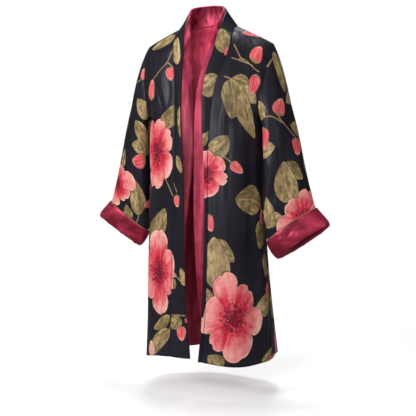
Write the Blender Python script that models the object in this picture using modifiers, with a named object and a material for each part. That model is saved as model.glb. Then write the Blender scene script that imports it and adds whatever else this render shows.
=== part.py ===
"""Open-front robe in east asian dress, as it hangs filled out with nobody inside it.

The garment faces -Y and the wearer's left is +X. The origin is on the line of the shoulders,
under the neck, where the wearer holds the robe up. All sizes are in metres.
Every piece of cloth is a sheet through sections worked out below, given a wall by Solidify.
"""
import math

import bpy
import numpy as np

# Cloth and seams
WALL = 0.002
FACING_WALL = 0.0012
SEAM_GAP = 0.0006
SHOULDER_EASE = 0.0005
ARMHOLE_EASE = 0.0024

# Shoulders and neck
NECK_X = 0.085
SHOULDER_SLOPE = 0.457
SHOULDER_TURN = 0.075
LEVEL_HEIGHT = -0.30
NAPE_DEPTH = 0.043
NAPE_RISE = 0.55
HEM_HEIGHT = -0.98
ARMPIT_HEIGHT = -0.29
ROUND_X = 0.92
ROUND_Y = 0.90
TIP_DROOP = 3.0
TIP_START = 0.150

# Sheet grids
TURN_ROWS = 6
CHEST_ROWS = 7
SKIRT_ROWS = 16
FRONT_COLUMNS = 11
BACK_COLUMNS = 25
SLEEVE_RINGS = 15
SLEEVE_SIDES = 22
LINING_MARGIN = 2
LINING_DEPTH = 0.0045
NAPE_STATIONS = 7

# Body sections, down from the shoulder: where the panel ends at the side, how deep it is in
# front of and behind its middle, where that middle lies, and the armhole's share of the depth
BODY_COLUMNS = ("height", "side_x", "front", "back", "middle", "armhole")
BODY_SECTIONS = (
    (0.000, 0.190, 0.092, 0.088, 0.006, 0.50),
    (-0.075, 0.189, 0.096, 0.090, 0.002, 0.52),
    (-0.130, 0.184, 0.106, 0.096, -0.006, 0.54),
    (-0.200, 0.174, 0.116, 0.102, -0.012, 0.55),
    (-0.250, 0.172, 0.120, 0.106, -0.015, 0.42),
    (-0.290, 0.177, 0.121, 0.108, -0.017, 0.00),
    (-0.400, 0.177, 0.121, 0.110, -0.020, 0.00),
    (-0.600, 0.177, 0.122, 0.118, -0.020, 0.00),
    (-0.780, 0.186, 0.130, 0.130, -0.004, 0.00),
    (-0.980, 0.203, 0.142, 0.142, 0.018, 0.00),
)

# Front edges, down from the shoulder: where the band is sewn on, where the band's own edge
# lies, how far that edge stands off the chest, and how much facing rolls out past it
EDGE_COLUMNS = ("height", "seam_x", "edge_x", "lift", "facing")
LEFT_EDGE = (
    (0.000, 0.085, 0.056, 0.006, 0.006),
    (-0.035, 0.090, 0.050, 0.006, 0.009),
    (-0.075, 0.085, 0.042, 0.008, 0.013),
    (-0.157, 0.061, 0.028, 0.010, 0.016),
    (-0.250, 0.048, 0.027, 0.010, 0.022),
    (-0.368, 0.042, 0.032, 0.006, 0.028),
    (-0.600, 0.042, 0.034, 0.004, 0.030),
    (-0.700, 0.038, 0.030, 0.004, 0.022),
    (-0.783, 0.034, 0.026, 0.003, 0.013),
    (-0.868, 0.028, 0.021, 0.003, 0.000),
    (-0.980, 0.016, 0.008, 0.003, -0.002),
)
RIGHT_EDGE = (
    (0.000, 0.085, 0.056, 0.006, 0.008),
    (-0.035, 0.084, 0.050, 0.008, 0.014),
    (-0.085, 0.079, 0.046, 0.012, 0.024),
    (-0.157, 0.066, 0.040, 0.018, 0.033),
    (-0.270, 0.059, 0.035, 0.020, 0.038),
    (-0.354, 0.059, 0.030, 0.019, 0.034),
    (-0.496, 0.062, 0.027, 0.016, 0.018),
    (-0.611, 0.066, 0.026, 0.014, 0.002),
    (-0.783, 0.075, 0.027, 0.010, -0.002),
    (-0.980, 0.084, 0.020, 0.006, -0.002),
)

# The band's free edge round the neck, as x, y and z, from the centre of the back to the front
NECK_EDGE = (
    (0.000, 0.036, 0.065),
    (0.036, 0.020, 0.060),
    (0.055, -0.018, 0.046),
    (0.056, -0.052, 0.014),
)
NECK_FACING = 0.003

# How the band and its facing are laid: ease where the band turns up at its seam, its bow
# across, the facing's tuck, swell and turned-back roll, and the way it rolls on each side
BAND_EASE = 0.0011
BAND_TURN = 1.3
BAND_BOW = 0.04
FACING_TUCK = 0.005
TUCK_MOST = 0.4
FACING_PUFF = 0.0022
FACING_FULL = 0.016
FACING_SEAM = 0.93
ROLL = 0.006
ROLL_LEAST = 0.45
ROLL_WAY = {1: (-1.0, -0.06, 0.0), -1: (1.0, 0.32, 0.0)}

# The facing's rows past its tuck: the share of its reach, how many rolls it lies short of that,
# how much of the step behind the band it keeps, and its share of the swell and of the roll
REACH_COLUMNS = ("reach", "back", "under", "puff", "roll")
REACH_ROWS = (
    (0.35, 0.00, 1.0, 0.3, 0.0),
    (0.70, 0.00, 1.0, 1.0, 0.0),
    (1.00, 0.00, 0.6, 0.0, 0.0),
    (1.00, 0.33, 1.0, 0.0, 1.0),
    (1.00, 1.50, 1.0, 0.0, 1.1),
)

# Hem heights of each panel at its inner edge, its middle and its side
LEFT_HEM = (-0.974, -0.984, -0.964)
RIGHT_HEM = (-0.968, -0.984, -1.006)
BACK_HEM = (-1.006, -0.987, -0.964)

# Sleeve sections, down the arm: the outer fold, the inner fold, how far the inner fold lies
# forward on the wearer's left and right, and half the thickness
SLEEVE_COLUMNS = ("along", "outer_x", "outer_z", "inner_x", "left_y", "right_y", "inner_z", "half")
SLEEVE_SECTIONS = (
    (0.00, 0.210, -0.078, 0.184, -0.015, -0.015, -0.300, 0.072),
    (0.12, 0.226, -0.125, 0.188, -0.034, -0.018, -0.335, 0.066),
    (0.30, 0.242, -0.205, 0.187, -0.056, -0.016, -0.395, 0.056),
    (0.50, 0.268, -0.300, 0.189, -0.068, -0.012, -0.475, 0.046),
    (0.68, 0.290, -0.400, 0.190, -0.070, -0.010, -0.545, 0.040),
    (0.82, 0.309, -0.475, 0.193, -0.064, -0.010, -0.590, 0.034),
    (0.91, 0.326, -0.528, 0.200, -0.056, -0.012, -0.620, 0.030),
    (1.00, 0.360, -0.566, 0.224, -0.050, -0.014, -0.662, 0.028),
    (1.02, 0.367, -0.574, 0.230, -0.049, -0.014, -0.670, 0.028),
)
SLEEVE_BLEND = 0.30
RIGHT_CUFF_RISE = 0.012
SLEEVE_END = 0.985
MOUTH_TILT = 0.30

# Turned-back cuff, from its loose top edge down, round the fold and up inside
CUFF_COLUMNS = ("along", "swell")
CUFF_PROFILE = (
    (0.905, 0.0046),
    (0.925, 0.0066),
    (0.960, 0.0070),
    (0.994, 0.0052),
    (1.012, 0.0008),
    (0.998, -0.0043),
    (0.940, -0.0041),
)

# Sleeve folds: the angle round the sleeve from its outer fold over the front, where it lies
# down the arm, its width as an angle, its length, its depth, and how it slants
SLEEVE_FOLD_COLUMNS = ("angle", "along", "wide", "long", "depth", "lean")
SLEEVE_FOLDS = (
    (1.50, 0.45, 0.50, 0.10, 0.0060, 0.10),
    (1.90, 0.66, 0.60, 0.07, -0.0060, -0.08),
    (1.20, 0.78, 0.55, 0.06, 0.0050, 0.06),
    (4.60, 0.50, 0.50, 0.10, 0.0060, -0.10),
    (4.30, 0.72, 0.60, 0.07, -0.0060, 0.08),
)

# Large soft folds: where on the panel, how wide, how deep, and between which heights
FOLD_COLUMNS = ("across", "width", "depth", "top", "bottom")
LEFT_FOLDS = (
    (0.30, 0.16, 0.0050, -0.12, -1.10),
    (0.62, 0.14, -0.0060, -0.30, -1.10),
    (0.84, 0.10, 0.0045, -0.40, -1.10),
)
RIGHT_FOLDS = (
    (0.28, 0.15, -0.0050, -0.20, -1.10),
    (0.55, 0.16, 0.0060, -0.45, -1.10),
    (0.80, 0.12, -0.0050, -0.15, -1.10),
)
BACK_FOLDS = (
    (-0.66, 0.10, 0.0060, -0.30, -1.10),
    (-0.36, 0.10, -0.0070, -0.40, -1.10),
    (-0.08, 0.11, 0.0065, -0.50, -1.10),
    (0.26, 0.10, -0.0070, -0.35, -1.10),
    (0.58, 0.11, 0.0060, -0.30, -1.10),
)
FOLD_FADE = 0.10

# Finishes: base colour, roughness, sheen-like metallic value
FINISHES = {
    "printed_satin": ((0.020, 0.019, 0.026, 1.0), 0.42, 0.0),
    "crimson_satin": ((0.420, 0.030, 0.070, 1.0), 0.34, 0.0),
}


def clear_scene():
    """Take away everything that the scene holds."""
    for item in list(bpy.data.objects):
        bpy.data.objects.remove(item, do_unlink=True)


def finish(name):
    """One material for the piece of that name, from its cloth's colour and roughness."""
    satin = "crimson_satin" if name.startswith(("cuff", "band_facing", "lining")) else "printed_satin"
    colour, roughness, metallic = FINISHES[satin]
    material = bpy.data.materials.new(f"{name}_{satin}")
    material.use_nodes = True
    shader = material.node_tree.nodes["Principled BSDF"]
    shader.inputs["Base Color"].default_value = colour
    shader.inputs["Roughness"].default_value = roughness
    shader.inputs["Metallic"].default_value = metallic
    return material


def smooth(places, values, at):
    """Cubic curve through the values, its slope at each place that of the two neighbours."""
    places, values, at = (np.asarray(item, dtype=float) for item in (places, values, at))
    if places[0] > places[-1]:
        places, values = places[::-1], values[::-1]
    slope = np.gradient(values, places)
    at = np.clip(at, places[0], places[-1])
    left = np.clip(np.searchsorted(places, at, side="right") - 1, 0, len(places) - 2)
    step = places[left + 1] - places[left]
    t = (at - places[left]) / step
    bend = t * t * (3 - 2 * t)
    return (values[left] * (1 - bend) + values[left + 1] * bend
            + step * (slope[left] * t * (1 - t) ** 2 - slope[left + 1] * t * t * (1 - t)))


def column(table, names, name, at):
    """One column of a table of sections, read smoothly along its first column."""
    return smooth([row[0] for row in table], [row[names.index(name)] for row in table], at)


def named(table, names):
    """Each row of a table as its values by name."""
    return [dict(zip(names, row)) for row in table]


def unit(vectors):
    """Vectors scaled to length one."""
    return vectors / np.maximum(np.linalg.norm(vectors, axis=-1, keepdims=True), 1e-9)


def run_along(points):
    """Distance run along a polyline at each of its points."""
    return np.concatenate([[0.0], np.cumsum(np.linalg.norm(np.diff(points, axis=0), axis=1))])


def fade(value):
    """Soft step from 0 to 1."""
    value = np.clip(value, 0.0, 1.0)
    return value * value * (3 - 2 * value)


def body_rows():
    """Heights of the rows at the neck, and how far each has turned over the shoulder."""
    turn = np.linspace(0.0, math.pi / 2, TURN_ROWS)
    chest = np.linspace(-SHOULDER_TURN, ARMPIT_HEIGHT, CHEST_ROWS)[1:]
    skirt = np.linspace(ARMPIT_HEIGHT, HEM_HEIGHT, SKIRT_ROWS)[1:]
    height = np.concatenate([-SHOULDER_TURN * (1 - np.cos(turn)), chest, skirt])
    full = np.full(len(chest) + len(skirt), math.pi / 2)
    return height, np.concatenate([turn, full])


def girth(height):
    """Half-width of the whole ring and the angle at which the panel stops, at a height."""
    share = np.clip(column(BODY_SECTIONS, BODY_COLUMNS, "armhole", height), 0.0, 1.0)
    share = np.where(height <= ARMPIT_HEIGHT, 0.0, share)
    stop = np.arccos(share ** (1 / ROUND_Y))
    half_width = column(BODY_SECTIONS, BODY_COLUMNS, "side_x", height) / np.sin(stop) ** ROUND_X
    return half_width, stop


def slant(height, x):
    """How far a row drops from the neck out to x: the shoulder's slope, level by the armpit."""
    steep = SHOULDER_SLOPE * (1 - fade(height / LEVEL_HEIGHT))
    out = np.abs(x) - NECK_X
    droop = TIP_DROOP * np.maximum(np.abs(x) - TIP_START, 0) ** 2
    return steep * (np.where(out > 0, out, out * NAPE_RISE) + droop)


def hem_drop(hem, across, height):
    """Extra height of a row's points, so that the lowest row follows the hem's three heights."""
    inner, middle, side = hem
    level = inner * (1 - across) * (1 - 2 * across) + middle * 4 * across * (1 - across)
    level = level + side * across * (2 * across - 1)
    return (level - HEM_HEIGHT) * fade((height - LEVEL_HEIGHT) / (HEM_HEIGHT - LEVEL_HEIGHT))


def fold_relief(folds, across, height):
    """Sum of the soft folds: each a bell across the panel that fades in from its top."""
    relief = np.zeros(np.broadcast(across, height).shape)
    for fold in named(folds, FOLD_COLUMNS):
        bell = np.exp(-((across - fold["across"]) / fold["width"]) ** 2)
        start = fade((fold["top"] - height) / FOLD_FADE)
        relief = relief + fold["depth"] * bell * start * fade((height - fold["bottom"]) / FOLD_FADE)
    return relief


def sheet_normals(points):
    """Unit normals of a grid of points, from its rows and columns."""
    down = np.gradient(points, axis=0)
    over = np.gradient(points, axis=1)
    return unit(np.cross(down, over))


def push(points, distance, way):
    """Move a grid's points along its normals, taken on the side that the way points to."""
    normal = sheet_normals(points)
    flip = np.sign(np.sum(normal * way, axis=2, keepdims=True))
    return points + normal * flip * np.asarray(distance)[..., None]


def front_panel(side, edge, hem, folds):
    """Front from the band's seam to the side: a rounded ring's front quarter, row by row.

    x is the half-width times a power of the sine, y the middle less the depth times a power
    of the cosine, and the top rows turn over the shoulder on a quarter circle.
    """
    height, turn = body_rows()
    half_width, stop = girth(height)
    seam = column(edge, EDGE_COLUMNS, "seam_x", height)
    start = np.arcsin(np.clip(seam / half_width, 0, 1) ** (1 / ROUND_X))
    across = np.linspace(0.0, 1.0, FRONT_COLUMNS)[None, :]
    angle = start[:, None] + (stop - start)[:, None] * across
    depth = (column(BODY_SECTIONS, BODY_COLUMNS, "front", height) * np.sin(turn))[:, None]
    middle = column(BODY_SECTIONS, BODY_COLUMNS, "middle", height)[:, None]
    gap = SEAM_GAP / 2 + SHOULDER_EASE * np.cos(turn)[:, None]
    x = half_width[:, None] * np.sin(angle) ** ROUND_X
    y = middle - depth * np.maximum(np.cos(angle), 0.0) ** ROUND_Y - gap
    z = height[:, None] - slant(height[:, None], x) + hem_drop(hem, across, height[:, None])
    points = np.stack([side * x, y, z], axis=2)
    rim = np.sin(np.pi * np.clip(across, 0, 1)) ** 0.5
    relief = fold_relief(folds, across, height[:, None]) * rim
    return push(points, relief, np.array([0.0, -1.0, 0.0]))


def back_panel():
    """Back from side to side: the same ring's rear half, hollowed out for the neck."""
    height, turn = body_rows()
    half_width, stop = girth(height)
    across = np.linspace(-1.0, 1.0, BACK_COLUMNS)[None, :]
    angle = stop[:, None] * across
    x = half_width[:, None] * np.sign(angle) * np.abs(np.sin(angle)) ** ROUND_X
    depth = column(BODY_SECTIONS, BODY_COLUMNS, "back", height)[:, None]
    middle = column(BODY_SECTIONS, BODY_COLUMNS, "middle", height)[:, None]
    neckline = NAPE_DEPTH * np.sqrt(np.clip(1 - (x[0] / NECK_X) ** 2, 0, 1))
    first = np.arcsin(neckline / depth[0, 0])[None, :]
    bent = first + (math.pi / 2 - first) * (turn / (math.pi / 2))[:, None]
    base = np.where(turn[:, None] < math.pi / 2, -SHOULDER_TURN * (1 - np.cos(bent)), height[:, None])
    gap = SEAM_GAP / 2 + SHOULDER_EASE * np.cos(turn)[:, None]
    y = middle + depth * np.sin(bent) * np.maximum(np.cos(angle), 0.0) ** ROUND_Y + gap
    hem = hem_drop(BACK_HEM, (across + 1) / 2, height[:, None])
    z = base - slant(height[:, None], x) + hem
    points = np.stack([x, y, z], axis=2)
    rim = np.cos(across * math.pi / 2) ** 0.5
    relief = fold_relief(BACK_FOLDS, across, height[:, None]) * rim
    return push(points, relief, np.array([0.0, 1.0, 0.0]))


def lining(back):
    """Back lining: the back panel's own points moved inwards, from the neck to above the hem."""
    inside = push(back, np.full(back.shape[:2], -LINING_DEPTH), np.array([0.0, 1.0, 0.0]))
    return inside[:-1, LINING_MARGIN:-LINING_MARGIN:LINING_MARGIN]


def along_curve(points, count):
    """Evenly spaced points along a polyline."""
    run = run_along(points)
    places = np.linspace(0.0, run[-1], count)
    return np.stack([np.interp(places, run, points[:, axis]) for axis in range(3)], axis=1)


def band_side(side, edge, panel, nape, nape_out):
    """Half of the band, nape to hem: seam, the panel's way out there, free edge, facing."""
    height, _ = body_rows()
    chest = TURN_ROWS
    seam = np.concatenate([nape, panel[1:, 0]])
    way_out = np.concatenate([nape_out, unit(panel[1:, 0] - panel[1:, 1])])
    neck_seam = seam[:len(nape) + chest - 1]
    run = run_along(seam)[:len(neck_seam) + 1]
    low = height[chest:]
    edge_x = side * column(edge, EDGE_COLUMNS, "edge_x", low)
    lift = column(edge, EDGE_COLUMNS, "lift", low)
    low_edge = np.stack([edge_x, panel[chest:, 0, 1] - lift, panel[chest:, 0, 2]], axis=1)
    marks = np.concatenate([np.array(NECK_EDGE) * (side, 1, 1), low_edge[:1]])
    mark_run = run_along(marks)
    places = run[:-1] / run[-1] * mark_run[-1]
    neck_edge = np.stack([smooth(mark_run, marks[:, axis], places) for axis in range(3)], axis=1)
    facing_low = column(edge, EDGE_COLUMNS, "facing", low)
    facing_neck = NECK_FACING + (facing_low[0] - NECK_FACING) * fade(run[:-1] / run[-1])
    return (seam, way_out, np.concatenate([neck_edge, low_edge]),
            np.concatenate([facing_neck, facing_low]))


def band_lines(back, left, right):
    """The whole band, right hem over the nape to left hem, as four rows of stations."""
    top = back[0]
    inner = np.flatnonzero(np.abs(top[:, 0]) < NECK_X)
    out = unit(top - back[1])
    corner = {side: panel[0, 0] for side, panel in ((1, left), (-1, right))}
    halves = []
    for side, edge, panel in ((-1, RIGHT_EDGE, right), (1, LEFT_EDGE, left)):
        half = inner[top[inner, 0] * side > -SEAM_GAP]
        half = half[np.argsort(np.abs(top[half, 0]))]
        nape = np.concatenate([top[half], [corner[side]]])
        nape_out = np.concatenate([out[half], [unit(panel[0, 0] - panel[0, 1])]])
        places = np.linspace(0, len(nape) - 1, NAPE_STATIONS)
        spread = [np.interp(places, np.arange(len(nape)), nape[:, axis]) for axis in range(3)]
        spread_out = [np.interp(places, np.arange(len(nape)), nape_out[:, axis]) for axis in range(3)]
        halves.append(band_side(side, edge, panel, np.stack(spread, 1), np.stack(spread_out, 1)))
    right_half, left_half = halves
    return [np.concatenate([r[:0:-1], l]) for r, l in zip(right_half, left_half)]


def outward(along, across, place):
    """Unit direction out of a strip's face: square to its run and its width, away from z."""
    out = unit(np.cross(along, across))
    return out * np.sign(np.sum(out * place * (1, 1, 0), axis=1, keepdims=True))


def neck_band(seam, way_out, edge):
    """Band from just past its seam to its free edge, bowed a little across."""
    lean = unit(edge - seam)
    out = outward(np.gradient(edge, axis=0), lean, edge)
    turn = np.clip(1 - np.sum(lean * way_out, axis=1, keepdims=True), 0, BAND_TURN)
    corner = np.sqrt(turn)
    start = seam + lean * (SEAM_GAP + BAND_EASE * corner)
    shares = np.array([0.0, 0.5, 1.0])[None, :, None]
    width = np.linalg.norm(edge - seam, axis=1)[:, None, None]
    bow = BAND_BOW * width * 4 * shares * (1 - shares) * out[:, None]
    return start[:, None] + (edge - start)[:, None] * shares + bow


def band_facing(seam, edge, facing):
    """Lining of the band: flat behind it, rolled out past its edge, then turned back inside."""
    run_edge, run_seam = np.gradient(edge, axis=0), np.gradient(seam, axis=0)
    lean = unit(edge - seam)
    width = np.linalg.norm(edge - seam, axis=1)
    under = (WALL + FACING_WALL) / 2 + 2 * SEAM_GAP
    tuck = np.minimum(FACING_TUCK / width, TUCK_MOST)
    behind = []
    for share in (np.full(len(edge), FACING_SEAM), tuck):
        share = share[:, None]
        out = outward(run_edge * (1 - share) + run_seam * share, lean, edge)
        behind.append(edge + (seam - edge) * share - out * under)
    reach = np.maximum(facing, 0.0)
    hidden = -tuck * width
    full = fade(reach / FACING_FULL)
    low = fade((NECK_EDGE[-1][-1] - edge[:, 2:]) / SHOULDER_TURN) * full[:, None]
    way = np.where(edge[:, :1] > 0, ROLL_WAY[1], ROLL_WAY[-1])
    roll_way = unit(lean * (1 - low) + unit(way) * low)
    roll_out = outward(run_edge, roll_way, edge)
    roll = ROLL * np.maximum(full, ROLL_LEAST)
    rolled = []
    for row in named(REACH_ROWS, REACH_COLUMNS):
        over = hidden + (reach - hidden) * row["reach"] - roll * row["back"]
        depth = under * (1 - (1 - row["under"]) * full) - row["puff"] * FACING_PUFF * full
        rolled.append(edge + roll_way * over[:, None] - roll_out * (depth + roll * row["roll"])[:, None])
    return np.stack(behind + rolled, axis=1)


def armhole(front, back, side):
    """Closed ring of armhole points: down the front edge from the shoulder, up the back edge."""
    last = TURN_ROWS + CHEST_ROWS - 1
    half = SLEEVE_SIDES // 2 + 1
    down = along_curve(front[:last, -1], half)
    up = along_curve(back[:last, -1 if side > 0 else 0], half)
    ring = np.concatenate([down, up[-2:0:-1]])
    ring[0], ring[half - 1] = (down[0] + up[0]) / 2, (down[-1] + up[-1]) / 2
    return ring


def sleeve_ring(along, swell, side, loop):
    """Rings of a sleeve: a flat tube between its two folds, led on from the armhole's ring.

    A point is the middle of the two folds, plus the cosine of its angle towards the outer
    fold, plus the sine of it times half the thickness, forwards and a little up.
    """
    along = np.asarray(along, dtype=float)[:, None]
    swell = np.asarray(swell, dtype=float)[:, None, None]
    read = {name: column(SLEEVE_SECTIONS, SLEEVE_COLUMNS, name, along[:, 0])[:, None]
            for name in SLEEVE_COLUMNS[1:]}
    outer = np.stack([side * read["outer_x"], np.zeros_like(along), read["outer_z"]], axis=2)
    rise = RIGHT_CUFF_RISE * along ** 2 * (side < 0)
    forward = read["left_y" if side > 0 else "right_y"]
    inner = np.stack([side * read["inner_x"], forward, read["inner_z"] + rise], axis=2)
    angle = np.linspace(0, 2 * math.pi, SLEEVE_SIDES, endpoint=False)[None, :, None]
    span = (outer - inner) / 2
    longer = 1 + swell / np.linalg.norm(span, axis=2, keepdims=True)
    lift = np.concatenate([np.zeros_like(along), -np.ones_like(along), MOUTH_TILT * along], axis=1)
    thick = unit(lift)[:, None] * (read["half"][..., None] + swell)
    ring = (outer + inner) / 2 + span * longer * np.cos(angle) + thick * np.sin(angle)
    ring = ring + unit(ring - (outer + inner) / 2) * sleeve_relief(along, angle[..., 0])[..., None]
    led = fade(along / SLEEVE_BLEND)[..., None]
    return ring * led + (loop + np.array([side * ARMHOLE_EASE, 0, 0]))[None] * (1 - led)


def sleeve_relief(along, angle):
    """Sum of the sleeve's soft folds: slanting bells over its length and round it."""
    relief = np.zeros(np.broadcast(along, angle).shape)
    for fold in named(SLEEVE_FOLDS, SLEEVE_FOLD_COLUMNS):
        turn = (angle - fold["angle"] + math.pi) % (2 * math.pi) - math.pi
        down = along - fold["along"] - fold["lean"] * turn
        relief = relief + fold["depth"] * np.exp(-(turn / fold["wide"]) ** 2 - (down / fold["long"]) ** 2)
    return relief


def cloth(collection, name, points, wall, closed=False):
    """Object of one sheet of cloth from its grid of points, with a wall about the sheet."""
    rows, columns = points.shape[:2]
    index = np.arange(rows * columns).reshape(rows, columns)
    if closed:
        index = np.concatenate([index, index[:, :1]], axis=1)
    quads = np.stack([index[:-1, :-1], index[1:, :-1], index[1:, 1:], index[:-1, 1:]], axis=2)
    mesh = bpy.data.meshes.new(name)
    mesh.from_pydata(points.reshape(-1, 3).tolist(), [], quads.reshape(-1, 4).tolist())
    mesh.shade_smooth()
    piece = bpy.data.objects.new(name, mesh)
    piece.data.materials.append(finish(name))
    solid = piece.modifiers.new("wall", "SOLIDIFY")
    solid.thickness = wall
    solid.offset = 0.0
    collection.objects.link(piece)
    return piece


def build_robe():
    """Every piece of cloth, each in its own object."""
    clear_scene()
    robe = bpy.data.collections.new("robe")
    bpy.context.scene.collection.children.link(robe)
    left = front_panel(1, LEFT_EDGE, LEFT_HEM, LEFT_FOLDS)
    right = front_panel(-1, RIGHT_EDGE, RIGHT_HEM, RIGHT_FOLDS)
    back = back_panel()
    cloth(robe, "front_left", left, WALL)
    cloth(robe, "front_right", right, WALL)
    cloth(robe, "back_panel", back, WALL)
    cloth(robe, "lining_back", lining(back), FACING_WALL)
    seam, way_out, edge, facing = band_lines(back, left, right)
    cloth(robe, "neck_band", neck_band(seam, way_out, edge), WALL)
    cloth(robe, "band_facing", band_facing(seam, edge, facing), FACING_WALL)
    places = np.linspace(0.0, SLEEVE_END, SLEEVE_RINGS)
    turned = named(CUFF_PROFILE, CUFF_COLUMNS)
    along, swell = [row["along"] for row in turned], [row["swell"] for row in turned]
    for side, word, front in ((1, "left", left), (-1, "right", right)):
        loop = armhole(front, back, side)
        tube = sleeve_ring(places, np.zeros(SLEEVE_RINGS), side, loop)
        cloth(robe, f"sleeve_{word}", tube, WALL, closed=True)
        cloth(robe, f"cuff_{word}", sleeve_ring(along, swell, side, loop), WALL, closed=True)


build_robe()
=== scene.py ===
# %% [markdown]
# # An open-front robe of printed satin
# The robe hangs filled out, as on a wearer who can't be seen. The printed shell is black satin with
# blossoms, leaves, buds and twigs; the facing, the lining and the turned-back cuffs are crimson
# satin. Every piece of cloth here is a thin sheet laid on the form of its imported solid, with the
# creases pressed into it and the print worked out from its own distances over the cloth.

# %% The frame
import math

import bpy
import numpy as np
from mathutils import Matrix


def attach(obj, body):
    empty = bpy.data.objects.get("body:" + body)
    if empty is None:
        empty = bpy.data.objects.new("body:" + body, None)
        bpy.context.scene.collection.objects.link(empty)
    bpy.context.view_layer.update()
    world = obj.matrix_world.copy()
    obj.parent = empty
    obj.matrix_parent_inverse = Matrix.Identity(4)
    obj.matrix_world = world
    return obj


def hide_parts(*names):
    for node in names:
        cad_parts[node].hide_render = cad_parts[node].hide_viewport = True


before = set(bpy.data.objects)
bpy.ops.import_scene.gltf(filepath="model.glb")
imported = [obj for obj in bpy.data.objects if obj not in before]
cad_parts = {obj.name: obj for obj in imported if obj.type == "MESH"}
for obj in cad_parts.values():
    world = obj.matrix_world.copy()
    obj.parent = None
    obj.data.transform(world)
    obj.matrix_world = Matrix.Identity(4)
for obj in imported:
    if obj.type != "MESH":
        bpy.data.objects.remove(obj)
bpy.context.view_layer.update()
print("solids:", ", ".join(sorted(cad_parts)))

# %% [markdown]
# ## Measures
# The body is read from a few level sections, each a rounded ring, as a pattern cutter would take
# widths and depths at the chest, the armpit and the hem. These are the same sizes that the solids
# are made from, so that the sheets lie inside the solids' walls. Only the grids are finer, and the
# seams are all but closed.

# %% Body sections, edges and hems
TINY = 1e-9

# Walls of the solids, the gap that the band's facing keeps, and what is left open where a front
# meets the back and where a sleeve meets its armhole
WALL = 0.002
FACING_WALL = 0.0012
SEAM_GAP = 0.0006
SEAM_MEET = 0.00005
ARMHOLE_EASE = 0.0003

NECK_X = 0.085
SHOULDER_SLOPE = 0.457
SHOULDER_TURN = 0.075
LEVEL_HEIGHT = -0.30
NAPE_DEPTH = 0.043
NAPE_RISE = 0.55
HEM_HEIGHT = -0.98
ARMPIT_HEIGHT = -0.29
ROUND_X = 0.92
ROUND_Y = 0.90
TIP_DROOP = 3.0
TIP_START = 0.150

# Rows and columns of the grids
TURN_ROWS = 32
CHEST_ROWS = 54
SKIRT_ROWS = 172
FRONT_COLUMNS = 57
BACK_COLUMNS = 113
SLEEVE_RINGS = 142
SLEEVE_SIDES = 110
CUFF_ROWS = 44
BAND_COLUMNS = 14
FACING_COLUMNS = 26
NAPE_STATIONS = 24

# The back lining: how far it lies inside, its share of the back's width, its height off the hem
LINING_DEPTH = 0.0045
LINING_SHARE = 0.8334
LINING_RAISE = 0.046

BODY_COLUMNS = ("height", "side_x", "front", "back", "middle", "armhole")
BODY_SECTIONS = (
    (0.000, 0.190, 0.092, 0.088, 0.006, 0.50),
    (-0.075, 0.189, 0.096, 0.090, 0.002, 0.52),
    (-0.130, 0.184, 0.106, 0.096, -0.006, 0.54),
    (-0.200, 0.174, 0.116, 0.102, -0.012, 0.55),
    (-0.250, 0.172, 0.120, 0.106, -0.015, 0.42),
    (-0.290, 0.177, 0.121, 0.108, -0.017, 0.00),
    (-0.400, 0.177, 0.121, 0.110, -0.020, 0.00),
    (-0.600, 0.177, 0.122, 0.118, -0.020, 0.00),
    (-0.780, 0.186, 0.130, 0.130, -0.004, 0.00),
    (-0.980, 0.203, 0.142, 0.142, 0.018, 0.00),
)

EDGE_COLUMNS = ("height", "seam_x", "edge_x", "lift", "facing")
LEFT_EDGE = (
    (0.000, 0.085, 0.056, 0.006, 0.006),
    (-0.035, 0.090, 0.050, 0.006, 0.009),
    (-0.075, 0.085, 0.042, 0.008, 0.013),
    (-0.157, 0.061, 0.028, 0.010, 0.016),
    (-0.250, 0.048, 0.027, 0.010, 0.022),
    (-0.368, 0.042, 0.032, 0.006, 0.028),
    (-0.600, 0.042, 0.034, 0.004, 0.030),
    (-0.700, 0.038, 0.030, 0.004, 0.022),
    (-0.783, 0.034, 0.026, 0.003, 0.013),
    (-0.868, 0.028, 0.021, 0.003, 0.000),
    (-0.980, 0.016, 0.008, 0.003, -0.002),
)
RIGHT_EDGE = (
    (0.000, 0.085, 0.056, 0.006, 0.008),
    (-0.035, 0.084, 0.050, 0.008, 0.014),
    (-0.085, 0.079, 0.046, 0.012, 0.024),
    (-0.157, 0.066, 0.040, 0.018, 0.033),
    (-0.270, 0.059, 0.035, 0.020, 0.038),
    (-0.354, 0.059, 0.030, 0.019, 0.034),
    (-0.496, 0.062, 0.027, 0.016, 0.018),
    (-0.611, 0.066, 0.026, 0.014, 0.002),
    (-0.783, 0.075, 0.027, 0.010, -0.002),
    (-0.980, 0.084, 0.020, 0.006, -0.002),
)

# The band's free edge round the neck, as x, y and z, from the centre of the back to the front
NECK_EDGE = (
    (0.000, 0.036, 0.065),
    (0.036, 0.020, 0.060),
    (0.055, -0.018, 0.046),
    (0.056, -0.052, 0.014),
)
NECK_FACING = 0.003

# Hem heights of each panel at its inner edge, its middle and its side
LEFT_HEM = (-0.974, -0.984, -0.964)
RIGHT_HEM = (-0.968, -0.984, -1.006)
BACK_HEM = (-1.006, -0.987, -0.964)

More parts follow.
